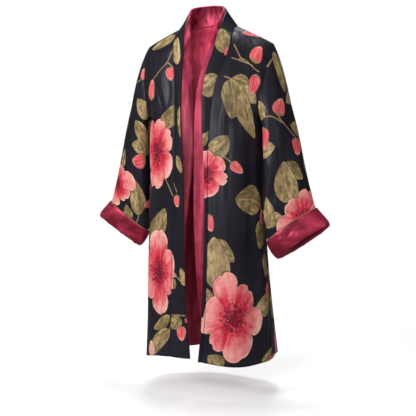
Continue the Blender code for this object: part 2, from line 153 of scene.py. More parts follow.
FOLD_COLUMNS = ("across", "width", "depth", "top", "bottom")
LEFT_FOLDS = (
    (0.30, 0.16, 0.0050, -0.12, -1.10),
    (0.62, 0.14, -0.0060, -0.30, -1.10),
    (0.84, 0.10, 0.0045, -0.40, -1.10),
)
RIGHT_FOLDS = (
    (0.28, 0.15, -0.0050, -0.20, -1.10),
    (0.55, 0.16, 0.0060, -0.45, -1.10),
    (0.80, 0.12, -0.0050, -0.15, -1.10),
)
BACK_FOLDS = (
    (-0.66, 0.10, 0.0060, -0.30, -1.10),
    (-0.36, 0.10, -0.0070, -0.40, -1.10),
    (-0.08, 0.11, 0.0065, -0.50, -1.10),
    (0.26, 0.10, -0.0070, -0.35, -1.10),
    (0.58, 0.11, 0.0060, -0.30, -1.10),
)
FOLD_FADE = 0.10
FOLD_RIM = 0.5

# %% [markdown]
# ## Reading a table smoothly
# A section between two rows of a table is read from a cubic curve whose slope at each row is that
# of its neighbours, so the cloth has no corner at a measured height.

# %% Small helpers


def smooth(places, values, at):
    """Cubic curve through the values, its slope at each place that of the two neighbours."""
    places, values, at = (np.asarray(item, dtype=float) for item in (places, values, at))
    if places[0] > places[-1]:
        places, values = places[::-1], values[::-1]
    slope = np.gradient(values, places, axis=0)
    at = np.clip(at, places[0], places[-1])
    left = np.clip(np.searchsorted(places, at, side="right") - 1, 0, len(places) - 2)
    beside_each = (...,) + (None,) * (values.ndim - 1)
    step = (places[left + 1] - places[left])[beside_each]
    t = (at - places[left])[beside_each] / step
    bend = t * t * (3 - 2 * t)
    return (values[left] * (1 - bend) + values[left + 1] * bend
            + step * (slope[left] * t * (1 - t) ** 2 - slope[left + 1] * t * t * (1 - t)))


def column(table, names, name, at):
    """One column of a table of sections, read smoothly along its first column."""
    return smooth([row[0] for row in table], [row[names.index(name)] for row in table], at)


def named(table, names):
    """Each row of a table as its values by name."""
    return [dict(zip(names, row)) for row in table]


def unit(vectors):
    """Vectors scaled to length one."""
    return vectors / np.maximum(np.linalg.norm(vectors, axis=-1, keepdims=True), TINY)


def step_lengths(points, axis=0):
    """Length of each step between neighbours along an axis of a polyline or grid of points."""
    return np.linalg.norm(np.diff(points, axis=axis), axis=-1)


def running(steps, axis=0):
    """Sum of the steps so far along an axis, from nought."""
    nought = np.zeros_like(np.take(steps, [0], axis=axis))
    return np.concatenate([nought, np.cumsum(steps, axis=axis)], axis=axis)


def run_along(points):
    """Distance run along a polyline at each of its points."""
    return running(step_lengths(points))


def spread_points(points, places, count):
    """Points of a polyline at even steps of the places given for its own points."""
    even = np.linspace(places[0], places[-1], count)
    return np.stack([np.interp(even, places, points[:, axis]) for axis in range(3)], axis=1)


def fade(value):
    """Soft step from 0 to 1."""
    value = np.clip(value, 0.0, 1.0)
    return value * value * (3 - 2 * value)


def push(points, distance, way):
    """Move a grid's points along its normals, taken on the side that the way points to."""
    normal = unit(np.cross(np.gradient(points, axis=0), np.gradient(points, axis=1)))
    flip = np.sign(np.sum(normal * way, axis=2, keepdims=True))
    return points + normal * flip * np.asarray(distance)[..., None]


# %% [markdown]
# ## The body
# A front runs from the band's seam to the side and a back from side to side. Both are arcs of the
# same rounded ring, row by row, and the top rows turn over the shoulder on a quarter circle, since
# this robe has a shoulder seam on the line of the shoulders.

# %% Fronts and back
FRONT_WAY, BACK_WAY = np.array([0.0, -1.0, 0.0]), np.array([0.0, 1.0, 0.0])


def body_rows():
    """Heights of the rows at the neck, and how far each has turned over the shoulder."""
    turn = np.linspace(0.0, math.pi / 2, TURN_ROWS)
    chest = np.linspace(-SHOULDER_TURN, ARMPIT_HEIGHT, CHEST_ROWS)[1:]
    skirt = np.linspace(ARMPIT_HEIGHT, HEM_HEIGHT, SKIRT_ROWS)[1:]
    height = np.concatenate([-SHOULDER_TURN * (1 - np.cos(turn)), chest, skirt])
    full = np.full(len(chest) + len(skirt), math.pi / 2)
    return height, np.concatenate([turn, full])


def body(name, height):
    """One measure of the body's sections at heights."""
    return column(BODY_SECTIONS, BODY_COLUMNS, name, height)


def girth(height):
    """Half-width of the whole ring and the angle at which the panel stops, at a height."""
    share = np.clip(body("armhole", height), 0.0, 1.0)
    share = np.where(height <= ARMPIT_HEIGHT, 0.0, share)
    stop = np.arccos(share ** (1 / ROUND_Y))
    half_width = body("side_x", height) / np.sin(stop) ** ROUND_X
    return half_width, stop


def slant(height, x):
    """How far a row drops from the neck out to x: the shoulder's slope, level by the armpit."""
    steep = SHOULDER_SLOPE * (1 - fade(height / LEVEL_HEIGHT))
    out = np.abs(x) - NECK_X
    droop = TIP_DROOP * np.maximum(np.abs(x) - TIP_START, 0) ** 2
    return steep * (np.where(out > 0, out, out * NAPE_RISE) + droop)


def hem_drop(hem, across, height):
    """Extra height of a row's points, so that the lowest row follows the hem's three heights."""
    inner, middle, side = hem
    level = inner * (1 - across) * (1 - 2 * across) + middle * 4 * across * (1 - across)
    level = level + side * across * (2 * across - 1)
    return (level - HEM_HEIGHT) * fade((height - LEVEL_HEIGHT) / (HEM_HEIGHT - LEVEL_HEIGHT))


def fold_relief(folds, across, height):
    """Sum of the soft folds: each a bell across the panel that fades in from its top."""
    relief = np.zeros(np.broadcast(across, height).shape)
    for fold in named(folds, FOLD_COLUMNS):
        bell = np.exp(-((across - fold["across"]) / fold["width"]) ** 2)
        start = fade((fold["top"] - height) / FOLD_FADE)
        relief = relief + fold["depth"] * bell * start * fade((height - fold["bottom"]) / FOLD_FADE)
    return relief


def front_panel(side, edge, hem, folds):
    """Front from the band's seam to the side: x = w sin(a)^p, y = m - d cos(a)^q, row by row."""
    height, turn = body_rows()
    half_width, stop = girth(height)
    seam = column(edge, EDGE_COLUMNS, "seam_x", height)
    start = np.arcsin(np.clip(seam / half_width, 0, 1) ** (1 / ROUND_X))
    across = np.linspace(0.0, 1.0, FRONT_COLUMNS)[None, :]
    angle = start[:, None] + (stop - start)[:, None] * across
    depth = (body("front", height) * np.sin(turn))[:, None]
    middle = body("middle", height)[:, None]
    x = half_width[:, None] * np.sin(angle) ** ROUND_X
    y = middle - depth * np.maximum(np.cos(angle), 0.0) ** ROUND_Y - SEAM_MEET
    z = height[:, None] - slant(height[:, None], x) + hem_drop(hem, across, height[:, None])
    points = np.stack([side * x, y, z], axis=2)
    rim = np.sin(math.pi * across).clip(0) ** FOLD_RIM
    return push(points, fold_relief(folds, across, height[:, None]) * rim, FRONT_WAY)


def back_panel():
    """Back from side to side: the same ring's rear half, hollowed out for the neck."""
    height, turn = body_rows()
    half_width, stop = girth(height)
    across = np.linspace(-1.0, 1.0, BACK_COLUMNS)[None, :]
    angle = stop[:, None] * across
    x = half_width[:, None] * np.sign(angle) * np.abs(np.sin(angle)) ** ROUND_X
    depth = body("back", height)[:, None]
    middle = body("middle", height)[:, None]
    neckline = NAPE_DEPTH * np.sqrt(np.clip(1 - (x[0] / NECK_X) ** 2, 0, 1))
    first = np.arcsin(neckline / depth[0, 0])[None, :]
    bent = first + (math.pi / 2 - first) * (turn / (math.pi / 2))[:, None]
    base = np.where(turn[:, None] < math.pi / 2, -SHOULDER_TURN * (1 - np.cos(bent)), height[:, None])
    y = middle + depth * np.sin(bent) * np.maximum(np.cos(angle), 0.0) ** ROUND_Y + SEAM_MEET
    z = base - slant(height[:, None], x) + hem_drop(BACK_HEM, (across + 1) / 2, height[:, None])
    points = np.stack([x, y, z], axis=2)
    rim = np.cos(across * math.pi / 2) ** FOLD_RIM
    return push(points, fold_relief(BACK_FOLDS, across, height[:, None]) * rim, BACK_WAY)


left_front = front_panel(1, LEFT_EDGE, LEFT_HEM, LEFT_FOLDS)
right_front = front_panel(-1, RIGHT_EDGE, RIGHT_HEM, RIGHT_FOLDS)
back = back_panel()
print("front grid", left_front.shape, "back grid", back.shape)

# %% [markdown]
# ## The neck band and its facing
# The band is one long strip, sewn to both fronts and the nape and folded double. Its outer face is
# printed; its facing is crimson, and rolls past the free edge, more on the wearer's right. Three
# lines lead it: the seam, the free edge and how far the facing reaches past that.

# %% Band and facing
SEAM_LAP = 0.0004
BAND_BOW = 0.04
FACING_TUCK = 0.005
TUCK_MOST = 0.4
FACING_PUFF = 0.0022
FACING_FULL = 0.016
FACING_SEAM = 1.04
ROLL = 0.006
ROLL_LEAST = 0.45
ROLL_WAY = {1: (-1.0, -0.06, 0.0), -1: (1.0, 0.32, 0.0)}
REACH_COLUMNS = ("reach", "back", "under", "puff", "roll")
REACH_ROWS = (
    (0.35, 0.00, 1.0, 0.3, 0.0),
    (0.70, 0.00, 1.0, 1.0, 0.0),
    (1.00, 0.00, 0.6, 0.0, 0.0),
    (1.00, 0.33, 1.0, 0.0, 1.0),
    (1.00, 1.50, 1.0, 0.0, 1.1),
)
# Where along the facing's own width its rows lie: two behind the band, then the rolled ones
FACING_MARKS = (0, 2.2, 3, 4, 5, 5.6, 6.2)


def band_side(side, edge, panel, nape):
    """Half of the band, nape to hem: its seam, its free edge and the facing's reach."""
    height, _ = body_rows()
    seam = np.concatenate([nape, panel[1:, 0]])
    run = run_along(seam)[:len(nape) + TURN_ROWS]
    low = height[TURN_ROWS:]
    edge_x = side * column(edge, EDGE_COLUMNS, "edge_x", low)
    lift = column(edge, EDGE_COLUMNS, "lift", low)
    low_edge = np.stack([edge_x, panel[TURN_ROWS:, 0, 1] - lift, panel[TURN_ROWS:, 0, 2]], axis=1)
    marks = np.concatenate([np.array(NECK_EDGE) * (side, 1, 1), low_edge[:1]])
    mark_run = run_along(marks)
    neck_edge = smooth(mark_run, marks, run[:-1] / run[-1] * mark_run[-1])
    facing_low = column(edge, EDGE_COLUMNS, "facing", low)
    facing_neck = NECK_FACING + (facing_low[0] - NECK_FACING) * fade(run[:-1] / run[-1])
    return seam, np.concatenate([neck_edge, low_edge]), np.concatenate([facing_neck, facing_low])


def band_lines(back, left, right):
    """The whole band, right hem over the nape to left hem: seam, free edge and facing's reach."""
    top = back[0]
    inner = np.flatnonzero(np.abs(top[:, 0]) < NECK_X)
    halves = []
    for side, edge, panel in ((-1, RIGHT_EDGE, right), (1, LEFT_EDGE, left)):
        half = inner[top[inner, 0] * side > -SEAM_GAP]
        half = half[np.argsort(np.abs(top[half, 0]))]
        nape = np.concatenate([top[half], panel[:1, 0]])
        nape = spread_points(nape, np.arange(len(nape)), NAPE_STATIONS)
        halves.append(band_side(side, edge, panel, nape))
    return [np.concatenate([on_right[:0:-1], on_left]) for on_right, on_left in zip(*halves)]


def outward(along, across, place):
    """Unit direction out of a strip's face: square to its run and its width, away from z."""
    out = unit(np.cross(along, across))
    return out * np.sign(np.sum(out * place * (1, 1, 0), axis=1, keepdims=True))


def neck_band(seam, edge):
    """Band from its seam to its free edge: a straight span plus a parabola's bow."""
    lean = unit(edge - seam)
    out = outward(np.gradient(edge, axis=0), lean, edge)
    start = seam - lean * SEAM_LAP
    shares = np.linspace(0.0, 1.0, BAND_COLUMNS)[None, :, None]
    width = np.linalg.norm(edge - seam, axis=1)[:, None, None]
    bow = BAND_BOW * width * 4 * shares * (1 - shares) * out[:, None]
    return start[:, None] + (edge - start)[:, None] * shares + bow


def band_facing(seam, edge, facing):
    """Lining of the band: flat behind it, rolled out past its edge, then turned back inside."""
    run_edge, run_seam = np.gradient(edge, axis=0), np.gradient(seam, axis=0)
    lean = unit(edge - seam)
    width = np.linalg.norm(edge - seam, axis=1)
    under = (WALL + FACING_WALL) / 2 + 2 * SEAM_GAP
    tuck = np.minimum(FACING_TUCK / width, TUCK_MOST)
    behind = []
    for share in (np.full(len(edge), FACING_SEAM), tuck):
        share = share[:, None]
        out = outward(run_edge * (1 - share) + run_seam * share, lean, edge)
        behind.append(edge + (seam - edge) * share - out * under)
    reach = np.maximum(facing, 0.0)
    hidden = -tuck * width
    full = fade(reach / FACING_FULL)
    low = fade((NECK_EDGE[-1][-1] - edge[:, 2:]) / SHOULDER_TURN) * full[:, None]
    way = np.where(edge[:, :1] > 0, ROLL_WAY[1], ROLL_WAY[-1])
    roll_way = unit(lean * (1 - low) + unit(way) * low)
    roll_out = outward(run_edge, roll_way, edge)
    roll = ROLL * np.maximum(full, ROLL_LEAST)
    rolled = []
    for row in named(REACH_ROWS, REACH_COLUMNS):
        over = hidden + (reach - hidden) * row["reach"] - roll * row["back"]
        depth = under * (1 - (1 - row["under"]) * full) - row["puff"] * FACING_PUFF * full
        rolled.append(edge + roll_way * over[:, None] - roll_out * (depth + roll * row["roll"])[:, None])
    at = np.linspace(FACING_MARKS[0], FACING_MARKS[-1], FACING_COLUMNS)
    return smooth(FACING_MARKS, np.stack(behind + rolled), at).transpose(1, 0, 2)


seam, edge, facing = band_lines(back, left_front, right_front)
band = neck_band(seam, edge)
facing_sheet = band_facing(seam, edge, facing)
print("band stations", len(seam), "length", round(float(run_along(edge)[-1]), 3), "m")

# %% [markdown]
# ## Sleeves and cuffs
# A sleeve is a flat tube with a fold at the top of the arm and one under it. Its first rings lead
# from the armhole into the tube. The cuff is the sleeve's lining turned back over its mouth, so it
# is one more run of the same rings, a little larger outside and a little smaller inside.

# %% Sleeves
SLEEVE_COLUMNS = ("along", "outer_x", "outer_z", "inner_x", "left_y", "right_y", "inner_z", "half")
SLEEVE_SECTIONS = (
    (0.00, 0.210, -0.078, 0.184, -0.015, -0.015, -0.300, 0.072),
    (0.12, 0.226, -0.125, 0.188, -0.034, -0.018, -0.335, 0.066),
    (0.30, 0.242, -0.205, 0.187, -0.056, -0.016, -0.395, 0.056),
    (0.50, 0.268, -0.300, 0.189, -0.068, -0.012, -0.475, 0.046),
    (0.68, 0.290, -0.400, 0.190, -0.070, -0.010, -0.545, 0.040),
    (0.82, 0.309, -0.475, 0.193, -0.064, -0.010, -0.590, 0.034),
    (0.91, 0.326, -0.528, 0.200, -0.056, -0.012, -0.620, 0.030),
    (1.00, 0.360, -0.566, 0.224, -0.050, -0.014, -0.662, 0.028),
    (1.02, 0.367, -0.574, 0.230, -0.049, -0.014, -0.670, 0.028),
)
SLEEVE_BLEND = 0.30
RIGHT_CUFF_RISE = 0.012
SLEEVE_END = 0.985
MOUTH_TILT = 0.30
SLEEVE_WAY = (0.29, 0.0, -0.957)

CUFF_COLUMNS = ("along", "swell")
CUFF_PROFILE = (
    (0.905, 0.0046),
    (0.925, 0.0066),
    (0.960, 0.0070),
    (0.994, 0.0052),
    (1.012, 0.0008),
    (0.998, -0.0043),
    (0.940, -0.0041),
)

SLEEVE_FOLD_COLUMNS = ("angle", "along", "wide", "long", "depth", "lean")
SLEEVE_FOLDS = (
    (1.50, 0.45, 0.50, 0.10, 0.0060, 0.10),
    (1.90, 0.66, 0.60, 0.07, -0.0060, -0.08),
    (1.20, 0.78, 0.55, 0.06, 0.0050, 0.06),
    (4.60, 0.50, 0.50, 0.10, 0.0060, -0.10),
    (4.30, 0.72, 0.60, 0.07, -0.0060, 0.08),
)


def armhole(front, back, side):
    """Closed ring of armhole points: down the front edge from the shoulder, up the back edge."""
    last = TURN_ROWS + CHEST_ROWS - 1
    half = SLEEVE_SIDES // 2 + 1
    front_edge, back_edge = front[:last, -1], back[:last, -1 if side > 0 else 0]
    down = spread_points(front_edge, run_along(front_edge), half)
    up = spread_points(back_edge, run_along(back_edge), half)
    ring = np.concatenate([down, up[-2:0:-1]])
    ring[0], ring[half - 1] = (down[0] + up[0]) / 2, (down[-1] + up[-1]) / 2
    return ring


def sleeve_relief(along, angle):
    """Sum of the sleeve's soft folds: slanting bells over its length and round it."""
    relief = np.zeros(np.broadcast(along, angle).shape)
    for fold in named(SLEEVE_FOLDS, SLEEVE_FOLD_COLUMNS):
        turn = (angle - fold["angle"] + math.pi) % (2 * math.pi) - math.pi
        down = along - fold["along"] - fold["lean"] * turn
        relief = relief + fold["depth"] * np.exp(-(turn / fold["wide"]) ** 2 - (down / fold["long"]) ** 2)
    return relief


def sleeve_ring(along, swell, side, loop):
    """Rings of a sleeve: middle of the two folds + span cos(a) + thickness sin(a), from the armhole."""
    along = np.asarray(along, dtype=float)[:, None]
    swell = np.asarray(swell, dtype=float)[:, None, None]
    read = {name: column(SLEEVE_SECTIONS, SLEEVE_COLUMNS, name, along[:, 0])[:, None]
            for name in SLEEVE_COLUMNS[1:]}
    outer = np.stack([side * read["outer_x"], np.zeros_like(along), read["outer_z"]], axis=2)
    rise = RIGHT_CUFF_RISE * along ** 2 * (side < 0)
    forward = read["left_y" if side > 0 else "right_y"]
    inner = np.stack([side * read["inner_x"], forward, read["inner_z"] + rise], axis=2)
    angle = np.linspace(0, 2 * math.pi, SLEEVE_SIDES, endpoint=False)[None, :, None]
    span = (outer - inner) / 2
    longer = 1 + swell / np.linalg.norm(span, axis=2, keepdims=True)
    lift = np.concatenate([np.zeros_like(along), -np.ones_like(along), MOUTH_TILT * along], axis=1)
    thick = unit(lift)[:, None] * (read["half"][..., None] + swell)
    ring = (outer + inner) / 2 + span * longer * np.cos(angle) + thick * np.sin(angle)
    ring = ring + unit(ring - (outer + inner) / 2) * sleeve_relief(along, angle[..., 0])[..., None]
    led = fade(along / SLEEVE_BLEND)[..., None]
    return ring * led + (loop + np.array([side * ARMHOLE_EASE, 0, 0]))[None] * (1 - led)


def cuff_rings(side, loop):
    """The cuff's rings, from its loose top edge down, round the fold and up inside."""
    rows = named(CUFF_PROFILE, CUFF_COLUMNS)
    marks = np.arange(len(rows))
    at = np.linspace(0, len(rows) - 1, CUFF_ROWS)
    along = smooth(marks, [row["along"] for row in rows], at)
    return sleeve_ring(along, smooth(marks, [row["swell"] for row in rows], at), side, loop)


ring_places = np.linspace(0.0, SLEEVE_END, SLEEVE_RINGS)
loops = {1: armhole(left_front, back, 1), -1: armhole(right_front, back, -1)}
tubes = {side: sleeve_ring(ring_places, np.zeros(SLEEVE_RINGS), side, loops[side]) for side in loops}
cuffs = {side: cuff_rings(side, loops[side]) for side in loops}
print("sleeve grid", tubes[1].shape, "cuff grid", cuffs[1].shape)

# %% [markdown]
# ## Distances over the cloth
# Print and creases belong to the flat cloth, so each grid gets two distances in metres: across
# from its seam, and down from the shoulder. The step across leaves out what a step goes down, as a
# pattern piece does when it is laid flat. Round a sleeve the distance starts at the outer fold and
# is negative behind it.

# %% Unrolled distances


def level_steps(points, down):
    """Length of each step across a grid, without what the step goes down."""
    square = step_lengths(points, 1) ** 2 - np.diff(down, axis=1) ** 2
    return np.sqrt(np.maximum(square, 0))


def panel_places(points, middle=0):
    """Distance across from the middle column and down from the shoulder, at each grid point."""
    down = running(step_lengths(points)) - points[:1, :, 2]
    across = running(level_steps(points, down), 1)
    return across - across[:, middle:middle + 1], down


def strip_places(points, middle):
    """Distance across a strip from its first column, and along it both ways from the middle."""
    along = running(step_lengths(points))
    return running(step_lengths(points, 1), 1), along - along[middle:middle + 1]


def tube_places(points, side):
    """Distance round a tube from its outer fold and down its own way, and its girth per ring."""
    ring = np.concatenate([points, points[:, :1]], axis=1)
    down = ring @ unit(np.array(SLEEVE_WAY) * (side, 1, 1))
    around = running(level_steps(ring, down), 1)
    whole = around[:, -1:]
    around = around[:, :-1]
    return np.where(around > whole / 2, around - whole, around), down[:, :-1], whole


def cuff_places(points, side):
    """Distance round a cuff from its outer fold, and from its loose top edge along the cloth."""
    return tube_places(points, side)[0], running(step_lengths(points))


places = {"front_left": panel_places(left_front), "front_right": panel_places(right_front),
          "back": panel_places(back, BACK_COLUMNS // 2)}
nape = len(seam) // 2
band_across, band_along = strip_places(band, nape)
for name, (across, down) in places.items():
    print(name, "is", round(float(np.ptp(across[-1])), 3), "m wide at the hem and",
          round(float(np.ptp(down[:, 0])), 3), "m long")

# %% [markdown]
# ## Creases
# Satin hangs in soft troughs and ridges that start where it is held and die away. Each is given by
# where its middle lies on the cloth, its length and width, the way it runs and its depth,
# outwards if positive. Angle 0 runs across the piece and 90 down it. All are in metres and degrees.

# %% Crease tables and the relief they make
CREASE_COLUMNS = ("across", "down", "long", "wide", "angle", "depth")
FRONT_LEFT_CREASES = (
    (0.030, 0.330, 0.300, 0.010, 88, 0.0016),
    (0.062, 0.420, 0.420, 0.013, 91, -0.0020),
    (0.105, 0.250, 0.180, 0.009, 78, -0.0016),
    (0.125, 0.200, 0.130, 0.007, 64, 0.0014),
    (0.135, 0.300, 0.150, 0.008, 100, -0.0018),
    (0.020, 0.560, 0.260, 0.008, 90, -0.0012),
    (0.110, 0.640, 0.400, 0.012, 93, 0.0018),
    (0.160, 0.760, 0.360, 0.010, 95, -0.0022),
    (0.198, 0.860, 0.330, 0.009, 92, 0.0020),
    (0.182, 0.950, 0.200, 0.006, 88, -0.0016),
    (0.040, 0.860, 0.280, 0.011, 87, 0.0012),
    (0.212, 0.960, 0.180, 0.006, 94, -0.0016),
    (0.060, 0.080, 0.090, 0.008, 60, -0.0010),
)
FRONT_RIGHT_CREASES = (
    (0.020, 0.230, 0.150, 0.006, 96, -0.0018),
    (0.038, 0.250, 0.170, 0.006, 100, 0.0018),
    (0.058, 0.250, 0.140, 0.005, 106, -0.0016),
    (0.080, 0.270, 0.150, 0.006, 112, 0.0016),
    (0.012, 0.330, 0.240, 0.006, 90, 0.0014),
    (0.045, 0.440, 0.360, 0.009, 88, -0.0018),
    (0.085, 0.520, 0.300, 0.009, 92, 0.0018),
    (0.030, 0.640, 0.260, 0.010, 91, 0.0014),
    (0.070, 0.720, 0.360, 0.010, 89, -0.0018),
    (0.110, 0.800, 0.320, 0.009, 92, 0.0020),
    (0.135, 0.900, 0.230, 0.008, 90, -0.0018),
    (0.030, 0.920, 0.200, 0.009, 88, -0.0012),
    (0.020, 0.880, 0.090, 0.006, 32, 0.0009),
)
BACK_CREASES = (
    (-0.150, 0.220, 0.200, 0.009, 72, -0.0018),
    (-0.128, 0.260, 0.180, 0.008, 78, 0.0016),
    (0.152, 0.225, 0.210, 0.009, 108, -0.0018),
    (0.128, 0.280, 0.190, 0.008, 102, 0.0016),
    (-0.060, 0.130, 0.120, 0.010, 15, -0.0010),
    (0.040, 0.120, 0.140, 0.010, 168, -0.0010),
    (-0.010, 0.430, 0.420, 0.014, 89, 0.0016),
    (-0.090, 0.560, 0.480, 0.012, 92, -0.0020),
    (0.075, 0.600, 0.460, 0.013, 88, -0.0018),
    (0.140, 0.720, 0.420, 0.012, 87, 0.0020),
    (-0.155, 0.760, 0.380, 0.011, 94, 0.0020),
    (-0.040, 0.850, 0.300, 0.010, 90, -0.0016),
    (0.030, 0.900, 0.220, 0.009, 91, 0.0016),
    (0.190, 0.880, 0.240, 0.009, 88, -0.0016),
    (-0.195, 0.900, 0.200, 0.009, 93, -0.0016),
)
SLEEVE_CREASES = (
    (0.060, 0.300, 0.260, 0.011, 86, 0.0018),
    (0.035, 0.380, 0.300, 0.009, 90, -0.0016),
    (0.100, 0.380, 0.240, 0.010, 95, -0.0022),
    (0.140, 0.420, 0.220, 0.009, 99, 0.0022),
    (0.165, 0.500, 0.240, 0.008, 96, -0.0026),
    (0.120, 0.540, 0.200, 0.009, 84, 0.0018),
    (0.080, 0.520, 0.180, 0.008, 78, -0.0014),
    (0.175, 0.320, 0.160, 0.008, 62, -0.0020),
    (0.150, 0.300, 0.140, 0.007, 56, 0.0016),
    (-0.060, 0.330, 0.260, 0.011, 92, 0.0018),
    (-0.100, 0.400, 0.260, 0.010, 86, -0.0022),
    (-0.150, 0.450, 0.240, 0.009, 82, 0.0020),
    (-0.120, 0.560, 0.180, 0.008, 100, -0.0018),
    (-0.040, 0.520, 0.200, 0.009, 88, -0.0014),
    (-0.170, 0.330, 0.170, 0.008, 118, -0.0020),
)
CUFF_CREASES = (
    (0.036, 0.030, 0.030, 0.0040, 30, -0.0011),
    (0.086, 0.026, 0.036, 0.0045, 148, 0.0012),
    (0.120, 0.024, 0.034, 0.0040, 20, -0.0012),
    (0.150, 0.022, 0.030, 0.0040, 160, 0.0014),
    (0.168, 0.032, 0.030, 0.0035, 40, -0.0012),
    (0.020, 0.060, 0.050, 0.0055, 70, 0.0012),
    (0.060, 0.055, 0.060, 0.0060, 110, -0.0012),
    (0.105, 0.050, 0.060, 0.0060, 62, 0.0016),
    (0.135, 0.040, 0.070, 0.0065, 120, -0.0018),
    (0.158, 0.055, 0.060, 0.0050, 85, 0.0018),
    (0.178, 0.050, 0.050, 0.0050, 72, -0.0018),
    (-0.040, 0.055, 0.060, 0.0060, 70, 0.0012),
    (-0.090, 0.050, 0.070, 0.0060, 115, -0.0014),
    (-0.130, 0.050, 0.060, 0.0060, 66, 0.0014),
    (-0.165, 0.050, 0.060, 0.0050, 95, -0.0016),
)
BAND_CREASES = (
    (0.020, 0.300, 0.240, 0.005, 88, 0.0010),
    (0.016, 0.880, 0.160, 0.006, 82, 0.0009),
    (0.024, 0.960, 0.120, 0.005, 70, -0.0010),
    (0.014, 1.000, 0.090, 0.005, 60, 0.0009),
    (0.022, -0.420, 0.220, 0.005, 92, 0.0010),
    (0.030, -0.900, 0.180, 0.006, 97, -0.0010),
    (0.024, -0.970, 0.090, 0.006, 45, 0.0012),
    (0.040, -1.010, 0.070, 0.005, 55, -0.0012),
    (0.030, -1.060, 0.080, 0.006, 40, 0.0012),
)
COLLAR_CREASES = (
    (0.022, -0.004, 0.060, 0.0062, 8, 0.0013),
    (0.016, 0.014, 0.052, 0.0050, 22, -0.0013),
    (0.026, 0.026, 0.058, 0.0056, 36, 0.0014),
    (0.014, 0.040, 0.052, 0.0048, 20, -0.0012),
    (0.022, 0.056, 0.056, 0.0052, 44, 0.0013),
    (0.018, -0.020, 0.056, 0.0048, -12, -0.0013),
    (0.024, -0.032, 0.056, 0.0054, -28, 0.0014),
    (0.014, -0.046, 0.050, 0.0046, -18, -0.0012),
    (0.022, -0.062, 0.056, 0.0052, -40, 0.0013),
)
FACING_CREASES = (
    (0.046, 0.300, 0.280, 0.007, 90, 0.0011),
    (0.058, 0.430, 0.300, 0.006, 91, -0.0012),
    (0.050, 0.640, 0.320, 0.008, 89, 0.0012),
    (0.060, 0.820, 0.260, 0.006, 91, -0.0010),
    (0.050, -0.280, 0.300, 0.008, 89, 0.0014),
    (0.062, -0.380, 0.330, 0.006, 91, -0.0014),
    (0.054, -0.560, 0.300, 0.008, 90, 0.0012),
)


def local(across, down, row):
    """Distances along and square to a row's own direction, from its place, in metres."""
    angle = math.radians(row["angle"])
    run = (across - row["across"], down - row["down"])
    return (run[0] * math.cos(angle) + run[1] * math.sin(angle),
            run[1] * math.cos(angle) - run[0] * math.sin(angle))


def crease_relief(across, down, table):
    """Sum of depth (1 - (2u/l)^2)^2 exp(-(v/w)^2) over a table of creases."""
    relief = np.zeros_like(down)
    for row in named(table, CREASE_COLUMNS):
        along, beside = local(across, down, row)
        taper = np.clip(1 - (2 * along / row["long"]) ** 2, 0, 1) ** 2
        relief += row["depth"] * taper * np.exp(-(beside / row["wide"]) ** 2)
    return relief


def tube_normals(points):
    """Unit normals of a closed ring grid, pointing away from each ring's middle."""
    around = np.roll(points, -1, axis=1) - np.roll(points, 1, axis=1)
    normal = unit(np.cross(np.gradient(points, axis=0), around))
    middle = points.mean(axis=1, keepdims=True)
    return normal * np.sign(np.sum(normal * (points - middle), axis=2, keepdims=True))


left_front = push(left_front, crease_relief(*places["front_left"], FRONT_LEFT_CREASES), FRONT_WAY)
right_front = push(right_front, crease_relief(*places["front_right"], FRONT_RIGHT_CREASES), FRONT_WAY)
back = push(back, crease_relief(*places["back"], BACK_CREASES), BACK_WAY)
tube_sizes = {side: tube_places(tubes[side], side) for side in tubes}
for side, tube in tubes.items():
    around, down, whole = tube_sizes[side]
    tubes[side] = tube + tube_normals(tube) * crease_relief(around, down, SLEEVE_CREASES)[..., None]
for side, cuff in cuffs.items():
    relief = crease_relief(*cuff_places(cuff, side), CUFF_CREASES)
    cuffs[side] = cuff + tube_normals(cuff) * relief[..., None]
band = push(band, crease_relief(band_across, band_along, BAND_CREASES), band * (1, 1, 0))
facing_places = strip_places(facing_sheet, nape)
facing_sheet = push(facing_sheet, crease_relief(*facing_places, COLLAR_CREASES + FACING_CREASES),
                    facing_sheet * (1, 1, 0))
CREASE_TABLES = (FRONT_LEFT_CREASES, FRONT_RIGHT_CREASES, BACK_CREASES, SLEEVE_CREASES, SLEEVE_CREASES,
                 CUFF_CREASES, CUFF_CREASES, BAND_CREASES, COLLAR_CREASES, FACING_CREASES)
print("creases pressed in:", sum(map(len, CREASE_TABLES)))

# %% [markdown]
# ## Painted shade on the crimson
# Inside a cuff and on the wearer's right facing the satin sees little light, and the photo shows it
# much deeper there. Each of those sheets keeps a share of shade, which the crimson material reads:
# on a cuff it grows from the fold to inside the sleeve, on the facing down the right front.

# %% Painted shade on the cuffs and the facing
MOUTH_SHADE = (0.70, 0.86)
FACING_SHADE = (0.08, 0.55)
FACING_SHADE_MOST = 0.55


def between(value, limits):
    """Soft step from 0 at the first limit to 1 at the second."""
    return fade((value - limits[0]) / (limits[1] - limits[0]))


# Painted shade: a share from 0 to 1 that darkens the crimson, from each cuff's fold to inside the sleeve
# and down the right facing
cuff_share = np.arange(CUFF_ROWS)[:, None] / CUFF_ROWS
cuff_shade = np.repeat(between(cuff_share, MOUTH_SHADE), SLEEVE_SIDES, axis=1)
facing_shade = FACING_SHADE_MOST * between(-facing_places[1], FACING_SHADE)
print("rows of a cuff in full shade:", int((cuff_shade[:, 0] == 1).sum()))
